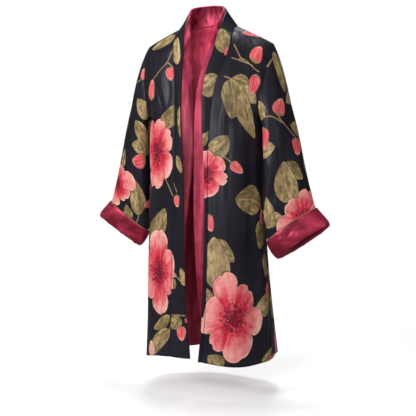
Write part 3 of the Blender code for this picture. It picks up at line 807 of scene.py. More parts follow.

# %% [markdown]
# ## The print
# Each motif is a simple shape in its own directions: a leaf or bud is a pointed oval from its base
# to its tip, a blossom is a ring of petals, a twig a thin line. At every grid point the print keeps
# how far inside the best motif it lies, which is smooth over the cloth, and the motif's own
# coordinates, from which the material paints ribs, petals and stamens.

# %% Print tables
PRINT_COLUMNS = ("kind", "across", "down", "long", "wide", "angle", "tone")
FRONT_LEFT_PRINT = (
    ("bud", 0.084, 0.148, 0.056, 0.036, -88, 0.35),
    ("bud", 0.024, 0.052, 0.046, 0.028, -14, 0.20),
    ("leaf", 0.040, 0.212, 0.115, 0.066, 78, 0.35),
    ("leaf", 0.074, 0.230, 0.160, 0.050, 66, 0.60),
    ("under", 0.043, 0.207, 0.056, 0.032, 11, 0.20),
    ("under", 0.068, 0.225, 0.066, 0.044, 30, 0.85),
    ("bud", 0.100, 0.178, 0.062, 0.030, 84, 0.20),
    ("leaf", 0.006, 0.428, 0.072, 0.058, -46, 0.45),
    ("bud", 0.069, 0.450, 0.044, 0.029, 38, 0.40),
    ("bud", 0.028, 0.442, 0.030, 0.018, 39, 0.50),
    ("flower", -0.002, 0.486, 0.076, 0.058, 20, 0.15),
    ("leaf", 0.166, 0.566, 0.086, 0.084, -171, 0.30),
    ("leaf", 0.170, 0.608, 0.088, 0.052, 93, 0.35),
    ("bud", 0.176, 0.632, 0.052, 0.028, -98, 0.60),
    ("bud", 0.004, 0.602, 0.050, 0.029, 81, 0.45),
    ("leaf", 0.048, 0.826, 0.164, 0.080, -100, 0.80),
    ("under", 0.026, 0.672, 0.082, 0.046, 50, 0.30),
    ("leaf", 0.024, 0.874, 0.062, 0.030, -113, 0.40),
    ("flower", 0.084, 0.902, 0.132, 0.090, 66, 0.55),
    ("under", 0.166, 0.892, 0.084, 0.058, -52, 0.40),
    ("under", 0.186, 0.712, 0.072, 0.036, 81, 0.50),
    ("leaf", 0.066, 1.050, 0.056, 0.050, -145, 0.40),
    ("leaf", 0.190, 1.034, 0.054, 0.022, -49, 0.45),
    ("bud", 0.206, 1.036, 0.050, 0.030, -16, 0.30),
    ("under", 0.205, 0.430, 0.080, 0.044, 70, 0.35),
    ("bud", 0.216, 0.800, 0.048, 0.030, 110, 0.30),
)
FRONT_RIGHT_PRINT = (
    ("leaf", 0.000, 0.074, 0.092, 0.046, 13, 0.55),
    ("bud", 0.004, 0.176, 0.042, 0.034, 76, 0.35),
    ("bud", 0.088, 0.258, 0.062, 0.028, -95, 0.45),
    ("flower", 0.070, 0.420, 0.108, 0.066, 84, 0.75),
    ("under", 0.056, 0.350, 0.080, 0.056, -134, 0.35),
    ("leaf", 0.084, 0.698, 0.124, 0.068, -116, 0.40),
    ("flower", 0.056, 0.778, 0.118, 0.080, 30, 0.35),
    ("leaf", 0.004, 0.950, 0.124, 0.050, 47, 0.50),
    ("under", 0.004, 0.908, 0.086, 0.036, 33, 0.25),
    ("bud", 0.086, 1.042, 0.050, 0.026, -88, 0.85),
    ("leaf", 0.140, 0.560, 0.090, 0.050, 70, 0.40),
    ("bud", 0.130, 0.510, 0.046, 0.030, 100, 0.40),
    ("leaf", 0.180, 0.900, 0.100, 0.056, 120, 0.50),
)
BAND_PRINT = (
    ("leaf", 0.034, 0.160, 0.086, 0.044, 112, 0.35),
    ("bud", 0.000, 0.246, 0.024, 0.018, -80, 0.20),
    ("leaf", -0.004, 0.318, 0.060, 0.074, 24, 0.45),
    ("leaf", 0.000, 0.470, 0.050, 0.026, 60, 0.55),
    ("leaf", 0.016, -0.272, 0.088, 0.036, 92, 0.90),
    ("leaf", 0.000, -0.330, 0.050, 0.020, 130, 0.40),
    ("leaf", 0.032, -0.400, 0.088, 0.036, -88, 0.45),
    ("leaf", 0.014, -0.536, 0.056, 0.022, -68, 0.70),
    ("bud", 0.016, -0.648, 0.036, 0.024, -84, 0.50),
    ("leaf", 0.046, -0.916, 0.056, 0.022, 104, 0.85),
    ("under", 0.016, -0.900, 0.040, 0.028, -140, 0.25),
    ("leaf", 0.026, -1.004, 0.050, 0.040, -118, 0.45),
    ("bud", 0.034, -1.036, 0.046, 0.030, -82, 0.40),
    ("bud", 0.050, -1.016, 0.026, 0.020, -30, 0.30),
)
SLEEVE_LEFT_PRINT = (
    ("leaf", 0.020, 0.130, 0.122, 0.052, 88, 0.45),
    ("bud", 0.074, 0.312, 0.052, 0.046, -122, 0.40),
    ("leaf", 0.126, 0.312, 0.060, 0.026, -101, 0.55),
    ("bud", 0.024, 0.384, 0.050, 0.038, 88, 0.30),
    ("bud", 0.130, 0.334, 0.062, 0.046, 81, 0.35),
    ("leaf", 0.072, 0.562, 0.122, 0.076, -85, 0.60),
    ("under", 0.082, 0.448, 0.078, 0.044, 136, 0.25),
    ("flower", 0.048, 0.616, 0.086, 0.078, 10, 0.45),
    ("leaf", 0.160, 0.606, 0.082, 0.036, -92, 0.50),
    ("under", 0.116, 0.584, 0.058, 0.044, 25, 0.65),
)
SLEEVE_RIGHT_PRINT = (
    ("bud", 0.076, 0.200, 0.036, 0.020, -115, 0.40),
    ("under", 0.131, 0.308, 0.070, 0.044, -134, 0.60),
    ("leaf", 0.091, 0.322, 0.112, 0.052, 54, 0.50),
    ("leaf", 0.040, 0.475, 0.056, 0.028, -92, 0.55),
    ("bud", 0.143, 0.424, 0.058, 0.042, 160, 0.20),
    ("flower", 0.026, 0.530, 0.062, 0.080, 30, 0.65),
    ("leaf", 0.128, 0.598, 0.112, 0.056, -110, 0.45),
    ("under", 0.104, 0.616, 0.044, 0.030, -125, 0.35),
)

# A spray that repeats over the hidden cloth: the same motifs and twigs, turned and moved each time
SPRAY = (
    ("flower", 0.000, 0.000, 0.092, 0.084, 15, 0.40),
    ("leaf", -0.050, 0.075, 0.105, 0.062, 120, 0.40),
    ("under", 0.070, -0.045, 0.090, 0.054, -25, 0.60),
    ("bud", 0.100, 0.060, 0.048, 0.032, 35, 0.35),
    ("leaf", 0.050, 0.110, 0.095, 0.050, 70, 0.75),
    ("bud", -0.100, -0.060, 0.046, 0.030, 200, 0.45),
)
SPRAY_TWIGS = (
    ((0.060, 0.050), (0.085, 0.052), (0.102, 0.062)),
    ((-0.060, -0.040), (-0.085, -0.045), (-0.100, -0.062)),
)
SPRAY_COLUMNS = ("across", "down", "angle", "scale")
BACK_SPRAYS = (
    (-0.075, 0.135, 10, 0.90),
    (0.105, 0.250, 200, 0.95),
    (-0.120, 0.420, 250, 0.90),
    (0.070, 0.520, 40, 1.00),
    (-0.070, 0.690, 130, 1.00),
    (0.150, 0.760, 290, 0.95),
    (-0.170, 0.900, 20, 0.90),
    (0.010, 0.930, 240, 1.00),
    (0.200, 0.990, 100, 0.85),
)
SLEEVE_SPRAYS = (
    (-0.090, 0.210, 60, 0.80),
    (-0.120, 0.410, 215, 0.85),
    (-0.070, 0.560, 330, 0.80),
)

TWIGS = {
    "front_left": (
        ((0.012, 0.108), (0.039, 0.142), (0.066, 0.152), (0.086, 0.163), (0.102, 0.168)),
        ((0.019, 0.148), (0.042, 0.152), (0.077, 0.156)),
        ((0.021, 0.207), (0.040, 0.210)),
        ((0.024, 0.433), (0.051, 0.436), (0.069, 0.450)),
        ((0.166, 0.566), (0.170, 0.606)),
        ((0.205, 0.430), (0.190, 0.400), (0.180, 0.350)),
    ),
    "front_right": (
        ((0.002, 0.124), (0.022, 0.158), (0.050, 0.178), (0.074, 0.195)),
        ((0.022, 0.158), (0.000, 0.181)),
        ((0.054, 0.498), (0.031, 0.502), (0.012, 0.534), (0.000, 0.554)),
        ((0.004, 0.950), (0.000, 0.940)),
        ((0.130, 0.510), (0.150, 0.480), (0.150, 0.420)),
    ),
    "back": (),
    "sleeve_left": (
        ((0.061, 0.170), (0.046, 0.156), (0.025, 0.144)),
        ((0.120, 0.306), (0.100, 0.308), (0.087, 0.316), (0.056, 0.342), (0.025, 0.380)),
        ((0.072, 0.312), (0.069, 0.324), (0.056, 0.342)),
    ),
    "sleeve_right": (
        ((0.052, 0.216), (0.062, 0.209), (0.078, 0.197)),
        ((0.128, 0.416), (0.153, 0.410)),
        ((0.128, 0.598), (0.124, 0.625)),
    ),
    "band": (
        ((0.004, -1.007), (0.026, -1.003), (0.048, -1.006)),
        ((0.016, -0.640), (0.000, -0.615)),
        ((0.004, -0.870), (0.030, -0.900)),
    ),
}

# %% [markdown]
# A petal reaches furthest at its middle and draws in between two petals. Every petal's reach
# differs a little. The blossom's own coordinates are kept with its angle evened out, so that the
# material finds each petal at a sixth of a turn. A motif's tone, from 0 to 1, sets how light it is,
# and also how it bows and waves, so that neighbours differ.

# %% Print fields
PRINT_FAR = 0.03
HEM_FAR = 1.0
LAYERS = ("under", "leaf", "bud", "flower")

# How blunt the base and how full the body of each pointed oval is, and how it bows and waves
OVAL_SHAPES = {"under": (0.80, 0.68), "leaf": (0.80, 0.68), "bud": (0.72, 0.55)}
OVAL_BOW = 0.16
OVAL_BOW_TONE = 40
OVAL_WAVE = 0.045
OVAL_WAVES = 8
OVAL_WAVE_TONE = 9
OVAL_SIDES_APART = 2

# Petals: their dip between two, roundness and reach, the notch at a tip, and their uneven angles
PETALS = 6
PETAL_DIP = 0.72
PETAL_FULL = 0.45
PETAL_SPREAD = 0.12
PETAL_NOTCH = 0.10
NOTCH_HALF = 0.06
SPREAD_TURN, SPREAD_TONE = 2.4, 17
NOTCH_TURN, NOTCH_TONE = 1.9, 11
SWAY_COLUMNS = ("most", "waves", "tone")
PETAL_SWAY = (
    (0.15, 2, 9),
    (0.10, 3, 5),
)


def moved(spray, x, y):
    """A place of the spray, scaled, turned and moved to where it lies on the cloth."""
    angle = math.radians(spray["angle"])
    x, y = x * spray["scale"], y * spray["scale"]
    return (spray["across"] + x * math.cos(angle) - y * math.sin(angle),
            spray["down"] + x * math.sin(angle) + y * math.cos(angle))


def moved_motifs(spray):
    """The rows of the spray's motifs, moved with it."""
    return tuple((row["kind"], *moved(spray, row["across"], row["down"]), row["long"] * spray["scale"],
                  row["wide"] * spray["scale"], row["angle"] + spray["angle"], row["tone"])
                 for row in named(SPRAY, PRINT_COLUMNS))


def moved_twigs(spray):
    """The lines of the spray's twigs, moved with it."""
    return tuple(tuple(moved(spray, x, y) for x, y in line) for line in SPRAY_TWIGS)


def oval_field(across, down, row):
    """Pointed oval: inside = (sin(pi u^point)^full - |v|) half-width, bowed and a little wavy."""
    point, full = OVAL_SHAPES[row["kind"]]
    along, beside = local(across, down, row)
    u, half = along / row["long"], row["wide"] / 2
    span = np.clip(u, 0, 1)
    bow = OVAL_BOW * math.sin(row["tone"] * OVAL_BOW_TONE)
    beside = beside + bow * row["wide"] * np.sin(math.pi * span)
    start = row["tone"] * OVAL_WAVE_TONE + OVAL_SIDES_APART * np.sign(beside)
    wide = np.sin(math.pi * span ** point) ** full * (1 + OVAL_WAVE * np.sin(OVAL_WAVES * span + start))
    inside = (wide - np.abs(beside) / half) * half
    beyond = np.hypot((u - span) * row["long"], beside)
    inside = np.where((u < 0) | (u > 1), -beyond, inside)
    return inside, np.stack([u, beside / half, np.full_like(u, row["tone"])], axis=-1)


def flower_field(across, down, row):
    """Ring of petals: inside = (reach(angle) - r) radius, reach = dip + rise cos(pi a)^full."""
    u, v = (across - row["across"]) / row["wide"], (down - row["down"]) / row["long"]
    radius = np.hypot(u, v)
    way = np.arctan2(v * row["long"], u * row["wide"]) - math.radians(row["angle"])
    way = way + sum(sway["most"] * np.sin(sway["waves"] * way + sway["tone"] * row["tone"])
                    for sway in named(PETAL_SWAY, SWAY_COLUMNS))
    petal = way * PETALS / (2 * math.pi)
    index = np.floor(petal + 0.5)
    place = petal - index
    reach = 1 + PETAL_SPREAD * np.sin(index * SPREAD_TURN + row["tone"] * SPREAD_TONE)
    deep = PETAL_NOTCH * (0.5 + 0.5 * np.sin(index * NOTCH_TURN + row["tone"] * NOTCH_TONE))
    notch = deep * np.exp(-(place / NOTCH_HALF) ** 2)
    outline = (PETAL_DIP + (1 - PETAL_DIP) * np.cos(math.pi * place) ** PETAL_FULL - notch) * reach
    inside = (outline - radius) * min(row["wide"], row["long"])
    tone = np.full_like(u, row["tone"])
    return inside, np.stack([radius * np.cos(way), radius * np.sin(way), tone], axis=-1)


def print_layer(across, down, rows, kind, whole=None):
    """The best motif of a kind at each grid point: inside distance and own coordinates."""
    best = np.full(down.shape, -PRINT_FAR)
    own = np.zeros(down.shape + (3,))
    for row in rows:
        if row["kind"] != kind:
            continue
        far = across
        if whole is not None:
            far = (across - row["across"] + whole / 2) % whole - whole / 2 + row["across"]
        field = flower_field if kind == "flower" else oval_field
        inside, coordinates = field(far, down, row)
        better = inside > best
        best = np.where(better, inside, best)
        own = np.where(better[..., None], coordinates, own)
    return best, own


def twig_layer(across, down, lines):
    """Distance to the nearest twig, plain and with the sign of the side it lies on."""
    near = np.full(down.shape, PRINT_FAR)
    signed = np.zeros(down.shape)
    for line in lines:
        for (x0, y0), (x1, y1) in zip(line[:-1], line[1:]):
            length = math.hypot(x1 - x0, y1 - y0)
            way = ((x1 - x0) / length, (y1 - y0) / length)
            run = (across - x0) * way[0] + (down - y0) * way[1]
            side = (down - y0) * way[0] - (across - x0) * way[1]
            plain = np.hypot(run - np.clip(run, 0, length), side)
            signed = np.where(plain < near, np.sign(side) * plain, signed)
            near = np.minimum(near, plain)
    return near, signed


def print_fields(across, down, table, twigs, whole=None):
    """All the print's fields by attribute name, for one piece of cloth."""
    rows = named(table, PRINT_COLUMNS)
    fields = {}
    for kind in LAYERS:
        fields[kind + "_in"], fields[kind + "_own"] = print_layer(across, down, rows, kind, whole)
    fields["twig_near"], fields["twig_side"] = twig_layer(across, down, twigs)
    return fields


def sprays(table):
    """The print and twig tables that a table of sprays makes."""
    rows = named(table, SPRAY_COLUMNS)
    return sum(map(moved_motifs, rows), ()), sum(map(moved_twigs, rows), ())


back_print, back_twigs = sprays(BACK_SPRAYS)
sleeve_back_print, sleeve_back_twigs = sprays(SLEEVE_SPRAYS)


def hem_fields(across, down, has_seam):
    """Distance above the hem, and the run along it from the band's seam, far where there is none."""
    return {"hem_up": down[-1:] - down, "hem_run": across + (0 if has_seam else HEM_FAR)}


def carry_over(fields, side, table):
    """Let a front's blossoms run on over the band's seam, as in cloth that is printed as one."""
    corner = abs(band_along[nape + side * (NAPE_STATIONS - 1), 0])
    rows = named(table, PRINT_COLUMNS)
    inside, own = print_layer(-band_across, side * band_along - corner, rows, "flower")
    station = side * (np.arange(len(band_along)) - nape)[:, None]
    better = (station > 0) & (inside > fields["flower_in"])
    fields["flower_in"] = np.where(better, inside, fields["flower_in"])
    fields["flower_own"] = np.where(better[..., None], own, fields["flower_own"])


prints = {
    "front_left": print_fields(*places["front_left"], FRONT_LEFT_PRINT, TWIGS["front_left"]),
    "front_right": print_fields(*places["front_right"], FRONT_RIGHT_PRINT, TWIGS["front_right"]),
    "back": print_fields(*places["back"], back_print, back_twigs),
    "band": print_fields(band_across, band_along, BAND_PRINT, TWIGS["band"]),
}
for side, table in ((1, FRONT_LEFT_PRINT), (-1, FRONT_RIGHT_PRINT)):
    carry_over(prints["band"], side, table)
SLEEVE_PRINTS = ((1, "sleeve_left", SLEEVE_LEFT_PRINT), (-1, "sleeve_right", SLEEVE_RIGHT_PRINT))
for side, name, table in SLEEVE_PRINTS:
    around, down, whole = tube_sizes[side]
    prints[name] = print_fields(around, down, table + sleeve_back_print,
                                TWIGS[name] + sleeve_back_twigs, whole)
for name in ("front_left", "front_right", "back"):
    prints[name].update(hem_fields(*places[name], name != "back"))
for name in ("band", "sleeve_left", "sleeve_right"):
    far = np.full(prints[name]["leaf_in"].shape, HEM_FAR)
    prints[name].update({"hem_up": far, "hem_run": far})
PRINT_TABLES = (FRONT_LEFT_PRINT, FRONT_RIGHT_PRINT, back_print, BAND_PRINT,
                SLEEVE_LEFT_PRINT, sleeve_back_print, SLEEVE_RIGHT_PRINT, sleeve_back_print)
print("motifs:", sum(map(len, PRINT_TABLES)))

# %% [markdown]
# ## Writing shader sums plainly
# One small class wraps a socket, so that a sum of fields reads as a sum. Everything else goes
# through one method that makes a node from its type, its settings and its inputs.

# %% Shader helpers


class Wire:
    """A socket whose sums, differences, products and quotients make Math nodes."""

    def __init__(self, paint, socket):
        self.paint, self.socket = paint, socket

    def math(self, operation, *values, first=None):
        """Math node of this socket, or of another first value, and further values."""
        sources = [self if first is None else first, *values]
        node = self.paint.node("ShaderNodeMath", {"operation": operation}, dict(enumerate(sources)))
        return Wire(self.paint, node.outputs[0])

    def __add__(self, other):
        return self.math("ADD", other)

    def __radd__(self, other):
        return self.math("ADD", other)

    def __sub__(self, other):
        return self.math("SUBTRACT", other)

    def __rsub__(self, other):
        return self.math("SUBTRACT", self, first=other)

    def __mul__(self, other):
        return self.math("MULTIPLY", other)

    def __rmul__(self, other):
        return self.math("MULTIPLY", other)

    def __truediv__(self, other):
        return self.math("DIVIDE", other)

    def __rtruediv__(self, other):
        return self.math("DIVIDE", self, first=other)

    def __abs__(self):
        return self.math("ABSOLUTE")

    def step(self, low, high):
        """Soft step from 0 at low to 1 at high."""
        node = self.paint.node("ShaderNodeMapRange", {"interpolation_type": "SMOOTHSTEP"},
                               {"Value": self, "From Min": low, "From Max": high})
        return Wire(self.paint, node.outputs[0])


class Paint:
    """A material being written: its tree, and one way to make any node in it."""

    def __init__(self, name):
        self.material = bpy.data.materials.new(name)
        self.material.use_nodes = True
        self.tree = self.material.node_tree
        self.shader = self.tree.nodes["Principled BSDF"]

    def node(self, kind, settings, inputs):
        """Node of a type, with its settings and with its inputs fed."""
        node = self.tree.nodes.new(kind)
        for key, value in settings.items():
            setattr(node, key, value)
        for key, value in inputs.items():
            self.feed(node.inputs[key], value)
        return node

    def feed(self, socket, value):
        """Link a wire to a socket, or set the socket to a plain value."""
        if isinstance(value, Wire):
            self.tree.links.new(value.socket, socket)
        else:
            socket.default_value = value

    def field(self, name):
        """A mesh attribute, as a number and as a vector."""
        node = self.node("ShaderNodeAttribute", {"attribute_name": name}, {})
        return Wire(self, node.outputs["Fac"]), Wire(self, node.outputs["Vector"])

    def parts(self, vector):
        """The three coordinates of a vector."""
        node = self.node("ShaderNodeSeparateXYZ", {}, {0: vector})
        return [Wire(self, output) for output in node.outputs]

    def together(self, *coordinates):
        """A vector of three coordinates."""
        node = self.node("ShaderNodeCombineXYZ", {}, dict(enumerate(coordinates)))
        return Wire(self, node.outputs[0])

    def blend(self, share, first, second):
        """The first colour where the share is 0, the second where it is 1."""
        node = self.node("ShaderNodeMix", {"data_type": "RGBA"}, {0: share, 6: first, 7: second})
        return Wire(self, node.outputs[2])

    def noise(self, vector, scale, detail=2.0, rough=0.5):
        """Soft noise about 0.5, as many waves in a unit as its scale."""
        node = self.node("ShaderNodeTexNoise", {}, {"Vector": vector, "Scale": scale, "Detail": detail,
                                                    "Roughness": rough})
        return Wire(self, node.outputs[0])

    def stretched(self, vector, scale):
        """A vector times a scale for each of its coordinates."""
        node = self.node("ShaderNodeMapping", {}, {"Vector": vector, "Scale": scale})
        return Wire(self, node.outputs[0])

    def object_place(self):
        """Place in the object's own coordinates, in metres."""
        return Wire(self, self.node("ShaderNodeTexCoord", {}, {}).outputs["Object"])

    def bumps(self, *layers):
        """Bump nodes in a row, each a height with its strength and distance in metres."""
        normal = None
        for height, strength, distance in layers:
            inputs = {"Height": height, "Strength": strength, "Distance": distance}
            if normal is not None:
                inputs["Normal"] = normal
            normal = Wire(self, self.node("ShaderNodeBump", {}, inputs).outputs[0])
        return normal

    def set(self, **inputs):
        """Feed inputs of the main shader by their names in small letters."""
        for key, value in inputs.items():
            self.feed(self.shader.inputs[key.replace("_", " ").title()], value)


# %% [markdown]
# ## Printed satin
# The ground is near-black with a blue cast. Leaves are olive and old gold, clouded like watercolour,
# with a pink-tan rib; blossoms go from deep rose at the heart to cream at the rim, with dark
# stamens. Satin floats make fine lines down the cloth, which show as a faint bump, and the
# reflection is a little blue.

# %% Printed satin
GROUND = (0.0095, 0.0080, 0.0125, 1)
GROUND_LIGHT = (0.0165, 0.0145, 0.0220, 1)
OLIVE_DARK = (0.092, 0.072, 0.030, 1)
OLIVE = (0.270, 0.190, 0.078, 1)
OLD_GOLD = (0.560, 0.410, 0.200, 1)
RIB = (0.560, 0.290, 0.190, 1)
TWIG_BROWN = (0.200, 0.115, 0.055, 1)
TWIG_LIGHT = (0.470, 0.300, 0.150, 1)
ROSE_DEEP = (0.560, 0.018, 0.045, 1)
ROSE = (0.720, 0.070, 0.096, 1)
ROSE_LIGHT = (0.840, 0.300, 0.290, 1)
CREAM = (0.930, 0.600, 0.440, 1)
STAMEN = (0.110, 0.006, 0.016, 1)
HALO = (0.004, 0.005, 0.012, 1)
STITCH = (0.060, 0.055, 0.070, 1)
SHEEN_BLUE = (0.90, 0.88, 1.00, 1)

# Stitches along the hem: from one to the next, half a thread's width, and where a stitch ends as a
# share of that; then the pucker's height above the hem and its waves. In metres, but for the share
HEM_FOLD = 0.012
STITCH_LONG = 0.0045
STITCH_HALF = (0.0003, 0.0008)
STITCH_END = (0.30, 0.38)
PUCKER_TOP = (0.004, 0.020)
PUCKER_WAVES = 900.0
SEAM_LINE = 0.0032

# A printed edge: how soft and how uneven it is, and how far its dark rim reaches; then the twigs
EDGE_SOFT = 0.0007
EDGE_ROUGH = 0.0016
HALO_REACH = (-0.0024, -0.0004)
TWIG_HALF = 0.0017
TWIG_ROUGH = 0.0012
TWIG_GATE = 0.0042
BARK_STRIPES = 160.0

# A leaf's side veins, rib and rim; lengths and widths are shares of the leaf's, rims are in metres
VEINS = 7.0
VEIN_SLANT = 2.2
VEIN_HALF = 0.08
RIB_BOW = 0.05
RIB_HALF = (0.015, 0.050)
RIB_END = (0.80, 0.97)
LEAF_RIM = 0.0016

# A bud's fold, its olive cup and its rim
BUD_FOLD = 0.28
BUD_FOLD_HALF = 0.14
BUD_CUP = (0.10, 0.17)
BUD_RIM = 0.0010

# A blossom's overlapping petals and the line between two, as shares of a petal's angle; its rim in
# metres; and its stamens, as dots in a radius and the radius at which they end
PETAL_OVERLAP = 0.20
PETAL_LINE = 0.035
FLOWER_RIM = 0.0040
FLOWER_RAGGED = 0.006
STAMEN_DOTS = 19.0
STAMEN_END = (0.36, 0.50)


def leaf_colour(paint, own, inside, cloud):
    """Olive to gold clouds, one half darker, a thin rib and faint side veins."""
    along, beside, tone = paint.parts(own)
    patch = paint.noise(paint.stretched(own, (2.6, 1.5, 9.0)), 1.5, 3.0, 0.6)
    mix = (cloud - 0.5) * 0.7 + (patch - 0.5) * 2.2 + (tone - 0.5) * 0.55 + 0.5
    cloudy = paint.blend(mix.step(0.30, 0.95), OLIVE, OLD_GOLD)
    shady = paint.blend((0.60 - mix).step(0.0, 0.55) * 0.62, cloudy, OLIVE_DARK)
    half = paint.blend(beside.step(-0.05, 0.10) * 0.30, shady, OLIVE_DARK)
    veins = abs((abs(beside) * VEIN_SLANT + along * VEINS).math("FRACT") - 0.5)
    lined = paint.blend((1 - veins.step(0.0, VEIN_HALF)) * 0.30, half, OLIVE_DARK)
    bowed = beside + (along * 6.0 + tone * 9.0).math("SINE") * RIB_BOW
    rib = (1 - abs(bowed).step(*RIB_HALF)) * (1 - along.step(*RIB_END))
    ribbed = paint.blend(rib * 0.80, lined, RIB)
    return paint.blend((1 - inside.step(0.0, LEAF_RIM)) * 0.35, ribbed, OLD_GOLD)


def bud_colour(paint, own, inside, cloud):
    """Rose with streaks along it, a petal's fold, cream near the tip, an olive cup at the base."""
    along, beside, tone = paint.parts(own)
    streak = paint.noise(paint.stretched(own, (1.2, 3.2, 9.0)), 1.8, 3.0)
    pink = paint.blend(streak.step(0.45, 0.80), ROSE, ROSE_LIGHT)
    fold = abs(beside - BUD_FOLD + along * 0.25)
    folded = paint.blend((1 - fold.step(0.0, BUD_FOLD_HALF)) * 0.60, pink, ROSE_DEEP)
    deep = paint.blend((0.55 - streak).step(0.0, 0.30) * 0.6, folded, ROSE_DEEP)
    pale = (along.step(0.70, 1.0) * 0.35 + tone * tone * tone).math("MINIMUM", 1.0)
    light = paint.blend(pale, deep, CREAM)
    rimmed = paint.blend((1 - inside.step(0.0, BUD_RIM)) * 0.35, light, CREAM)
    return paint.blend(1 - (along + (cloud - 0.5) * 0.5).step(*BUD_CUP), rimmed, OLIVE)


def flower_colour(paint, own, inside, cloud):
    """Petals by angle: deep at the base and under the next petal, light outside, cream rims."""
    p, q, tone = paint.parts(own)
    radius = (p * p + q * q).math("SQRT")
    petal = q.math("ARCTAN2", p) * (PETALS / (2 * math.pi)) + 0.5
    place = petal.math("FRACT")
    index = petal.math("FLOOR")
    wash = paint.noise(paint.stretched(own, (2.2, 2.2, 9.0)), 1.6, 3.0, 0.6)
    streaks = paint.noise(paint.together(petal * 6.0, radius * 1.2, tone * 9.0), 1.0, 3.0)
    lift = radius.step(0.15, 1.05) * 0.70 + (wash - 0.5) * 1.1 + (streaks - 0.5) * 0.8
    lift = lift + (index * 2.3 + tone * 5.0).math("SINE") * 0.10
    deep = paint.blend(lift.step(-0.10, 0.34), ROSE_DEEP, ROSE)
    body = paint.blend(lift.step(0.12, 0.74), deep, ROSE_LIGHT)
    overlap = (1 - place.step(0.0, PETAL_OVERLAP)) * radius.step(0.10, 0.35)
    shaded = paint.blend(overlap * 0.65, body, ROSE_DEEP)
    line = (1 - (1 - place).step(0.0, PETAL_LINE)) * radius.step(0.2, 0.6)
    lined = paint.blend(line * 0.45, shaded, CREAM)
    tips = paint.blend(radius.step(0.66, 1.05) * wash.step(0.42, 0.64) * 0.60, lined, CREAM)
    ragged = inside + (cloud - 0.5) * FLOWER_RAGGED
    rim = (1 - ragged.step(0.0, FLOWER_RIM)) * (wash.step(0.34, 0.60) * 0.60 + 0.16)
    rimmed = paint.blend(rim, tips, CREAM)
    dots = paint.noise(paint.stretched(own, (1.0, 1.0, 3.0)), STAMEN_DOTS, 1.0)
    burst = (dots + (0.30 - radius) * 0.75).step(0.48, 0.54) * (1 - radius.step(*STAMEN_END))
    return paint.blend(burst * 0.88, rimmed, STAMEN)


def twigs_over(paint, colour, cloud):
    """Thin brown twigs laid over a colour, and their share of it."""
    signed = paint.field("twig_side")[0]
    wide = (abs(signed) + (cloud - 0.5) * TWIG_ROUGH).step(TWIG_HALF - EDGE_SOFT, TWIG_HALF + EDGE_SOFT)
    share = (1 - wide) * (1 - paint.field("twig_near")[0].math("GREATER_THAN", TWIG_GATE))
    bark = paint.blend((cloud + signed * BARK_STRIPES).step(0.3, 0.8), TWIG_BROWN, TWIG_LIGHT)
    return paint.blend(share, colour, bark), share


def hem_over(paint, colour):
    """Hem stitches and the band's seam laid over a colour; the pucker and stitches as heights."""
    hem, run = paint.field("hem_up")[0], paint.field("hem_run")[0]
    dash = abs((run / STITCH_LONG).math("FRACT") - 0.5)
    stitch = (1 - abs(hem - HEM_FOLD).step(*STITCH_HALF)) * (1 - dash.step(*STITCH_END))
    waves = (run * PUCKER_WAVES).math("SINE") * 0.5 + 0.5
    pucker = waves * (1 - hem.step(*PUCKER_TOP)) * hem.step(0.0, HEM_FOLD)
    colour = paint.blend(stitch * 0.7, colour, STITCH)
    seam_line = 1 - run.step(SEAM_LINE / 2, SEAM_LINE)
    return paint.blend(seam_line * 0.85, colour, HALO), pucker, stitch


def printed_satin():
    """The ground with five layers of print over it, each cut out by its own distance."""
    paint = Paint("printed_satin_look")
    place = paint.object_place()
    cloud = paint.noise(place, 70.0, 3.0, 0.6)
    colour = paint.blend(paint.noise(place, 9.0).step(0.35, 0.7), GROUND, GROUND_LIGHT)
    printed = 0
    for layer, colours in zip(LAYERS, (leaf_colour, leaf_colour, bud_colour, flower_colour)):
        if layer == "bud":
            colour, twigs = twigs_over(paint, colour, cloud)
            printed = printed + twigs
        inside = paint.field(layer + "_in")[0]
        own = paint.field(layer + "_own")[1]
        rough_edge = inside + (cloud - 0.5) * EDGE_ROUGH
        halo = paint.blend(rough_edge.step(*HALO_REACH), colour, HALO)
        cut = rough_edge.step(-EDGE_SOFT, EDGE_SOFT)
        colour = paint.blend(cut, halo, colours(paint, own, inside, cloud))
        printed = printed + cut
    floats = paint.noise(paint.stretched(place, (900.0, 900.0, 60.0)), 1.0, 1.0)
    rumple = paint.noise(paint.stretched(place, (24.0, 24.0, 3.4)), 1.0, 2.0)
    colour, pucker, stitch = hem_over(paint, colour)
    roughness = 0.38 + (rumple - 0.5) * 0.10 + printed.math("MINIMUM", 1.0) * 0.12
    paint.set(base_color=colour, roughness=roughness)
    paint.set(normal=paint.bumps((rumple, 0.65, 0.008), (pucker, 0.45, 0.0006), (stitch, 0.6, 0.0004),
                                 (floats, 0.22, 0.0002)))
    paint.shader.inputs["Specular IOR Level"].default_value = 0.22
    paint.shader.inputs["Specular Tint"].default_value = SHEEN_BLUE
    return paint.material


# %% [markdown]
# ## Crimson satin
# Plain satin gets its life from its sheen. Part of it counts as metal, so that this part reflects in
# the cloth's own colour, as dyed filament does; the rest reflects in a pale pink. Its colour is also
# painted sheen: it goes from a shaded to a lit crimson along the same rumples that bump the cloth.
# The painted shade kept on the cuffs and the facing draws the colour towards a very dark red.

# %% Crimson satin
# In each pair the first colour is the shaded and the second the lit end of the painted sheen; SHADE_RED
# is the painted shade inside the cuffs and down the right facing
CUFF_DARK = (0.190, 0.006, 0.020, 1)
CUFF_RED = (0.460, 0.030, 0.078, 1)
SHADE_RED = (0.050, 0.001, 0.006, 1)
FACING_DARK = (0.190, 0.005, 0.022, 1)
FACING_RED = (0.460, 0.044, 0.100, 1)
LINING_DARK = (0.440, 0.030, 0.072, 1)
LINING = (0.640, 0.076, 0.150, 1)
SHEEN_PINK = (1.00, 0.42, 0.52, 1)
GLINT_PINK = (1.00, 0.66, 0.72, 1)
PIPING = (0.300, 0.215, 0.095, 1)
PIPING_SHADE = (0.180, 0.129, 0.057, 1)
UPRIGHT, EVEN = (70.0, 70.0, 5.0), (20.0, 20.0, 30.0)


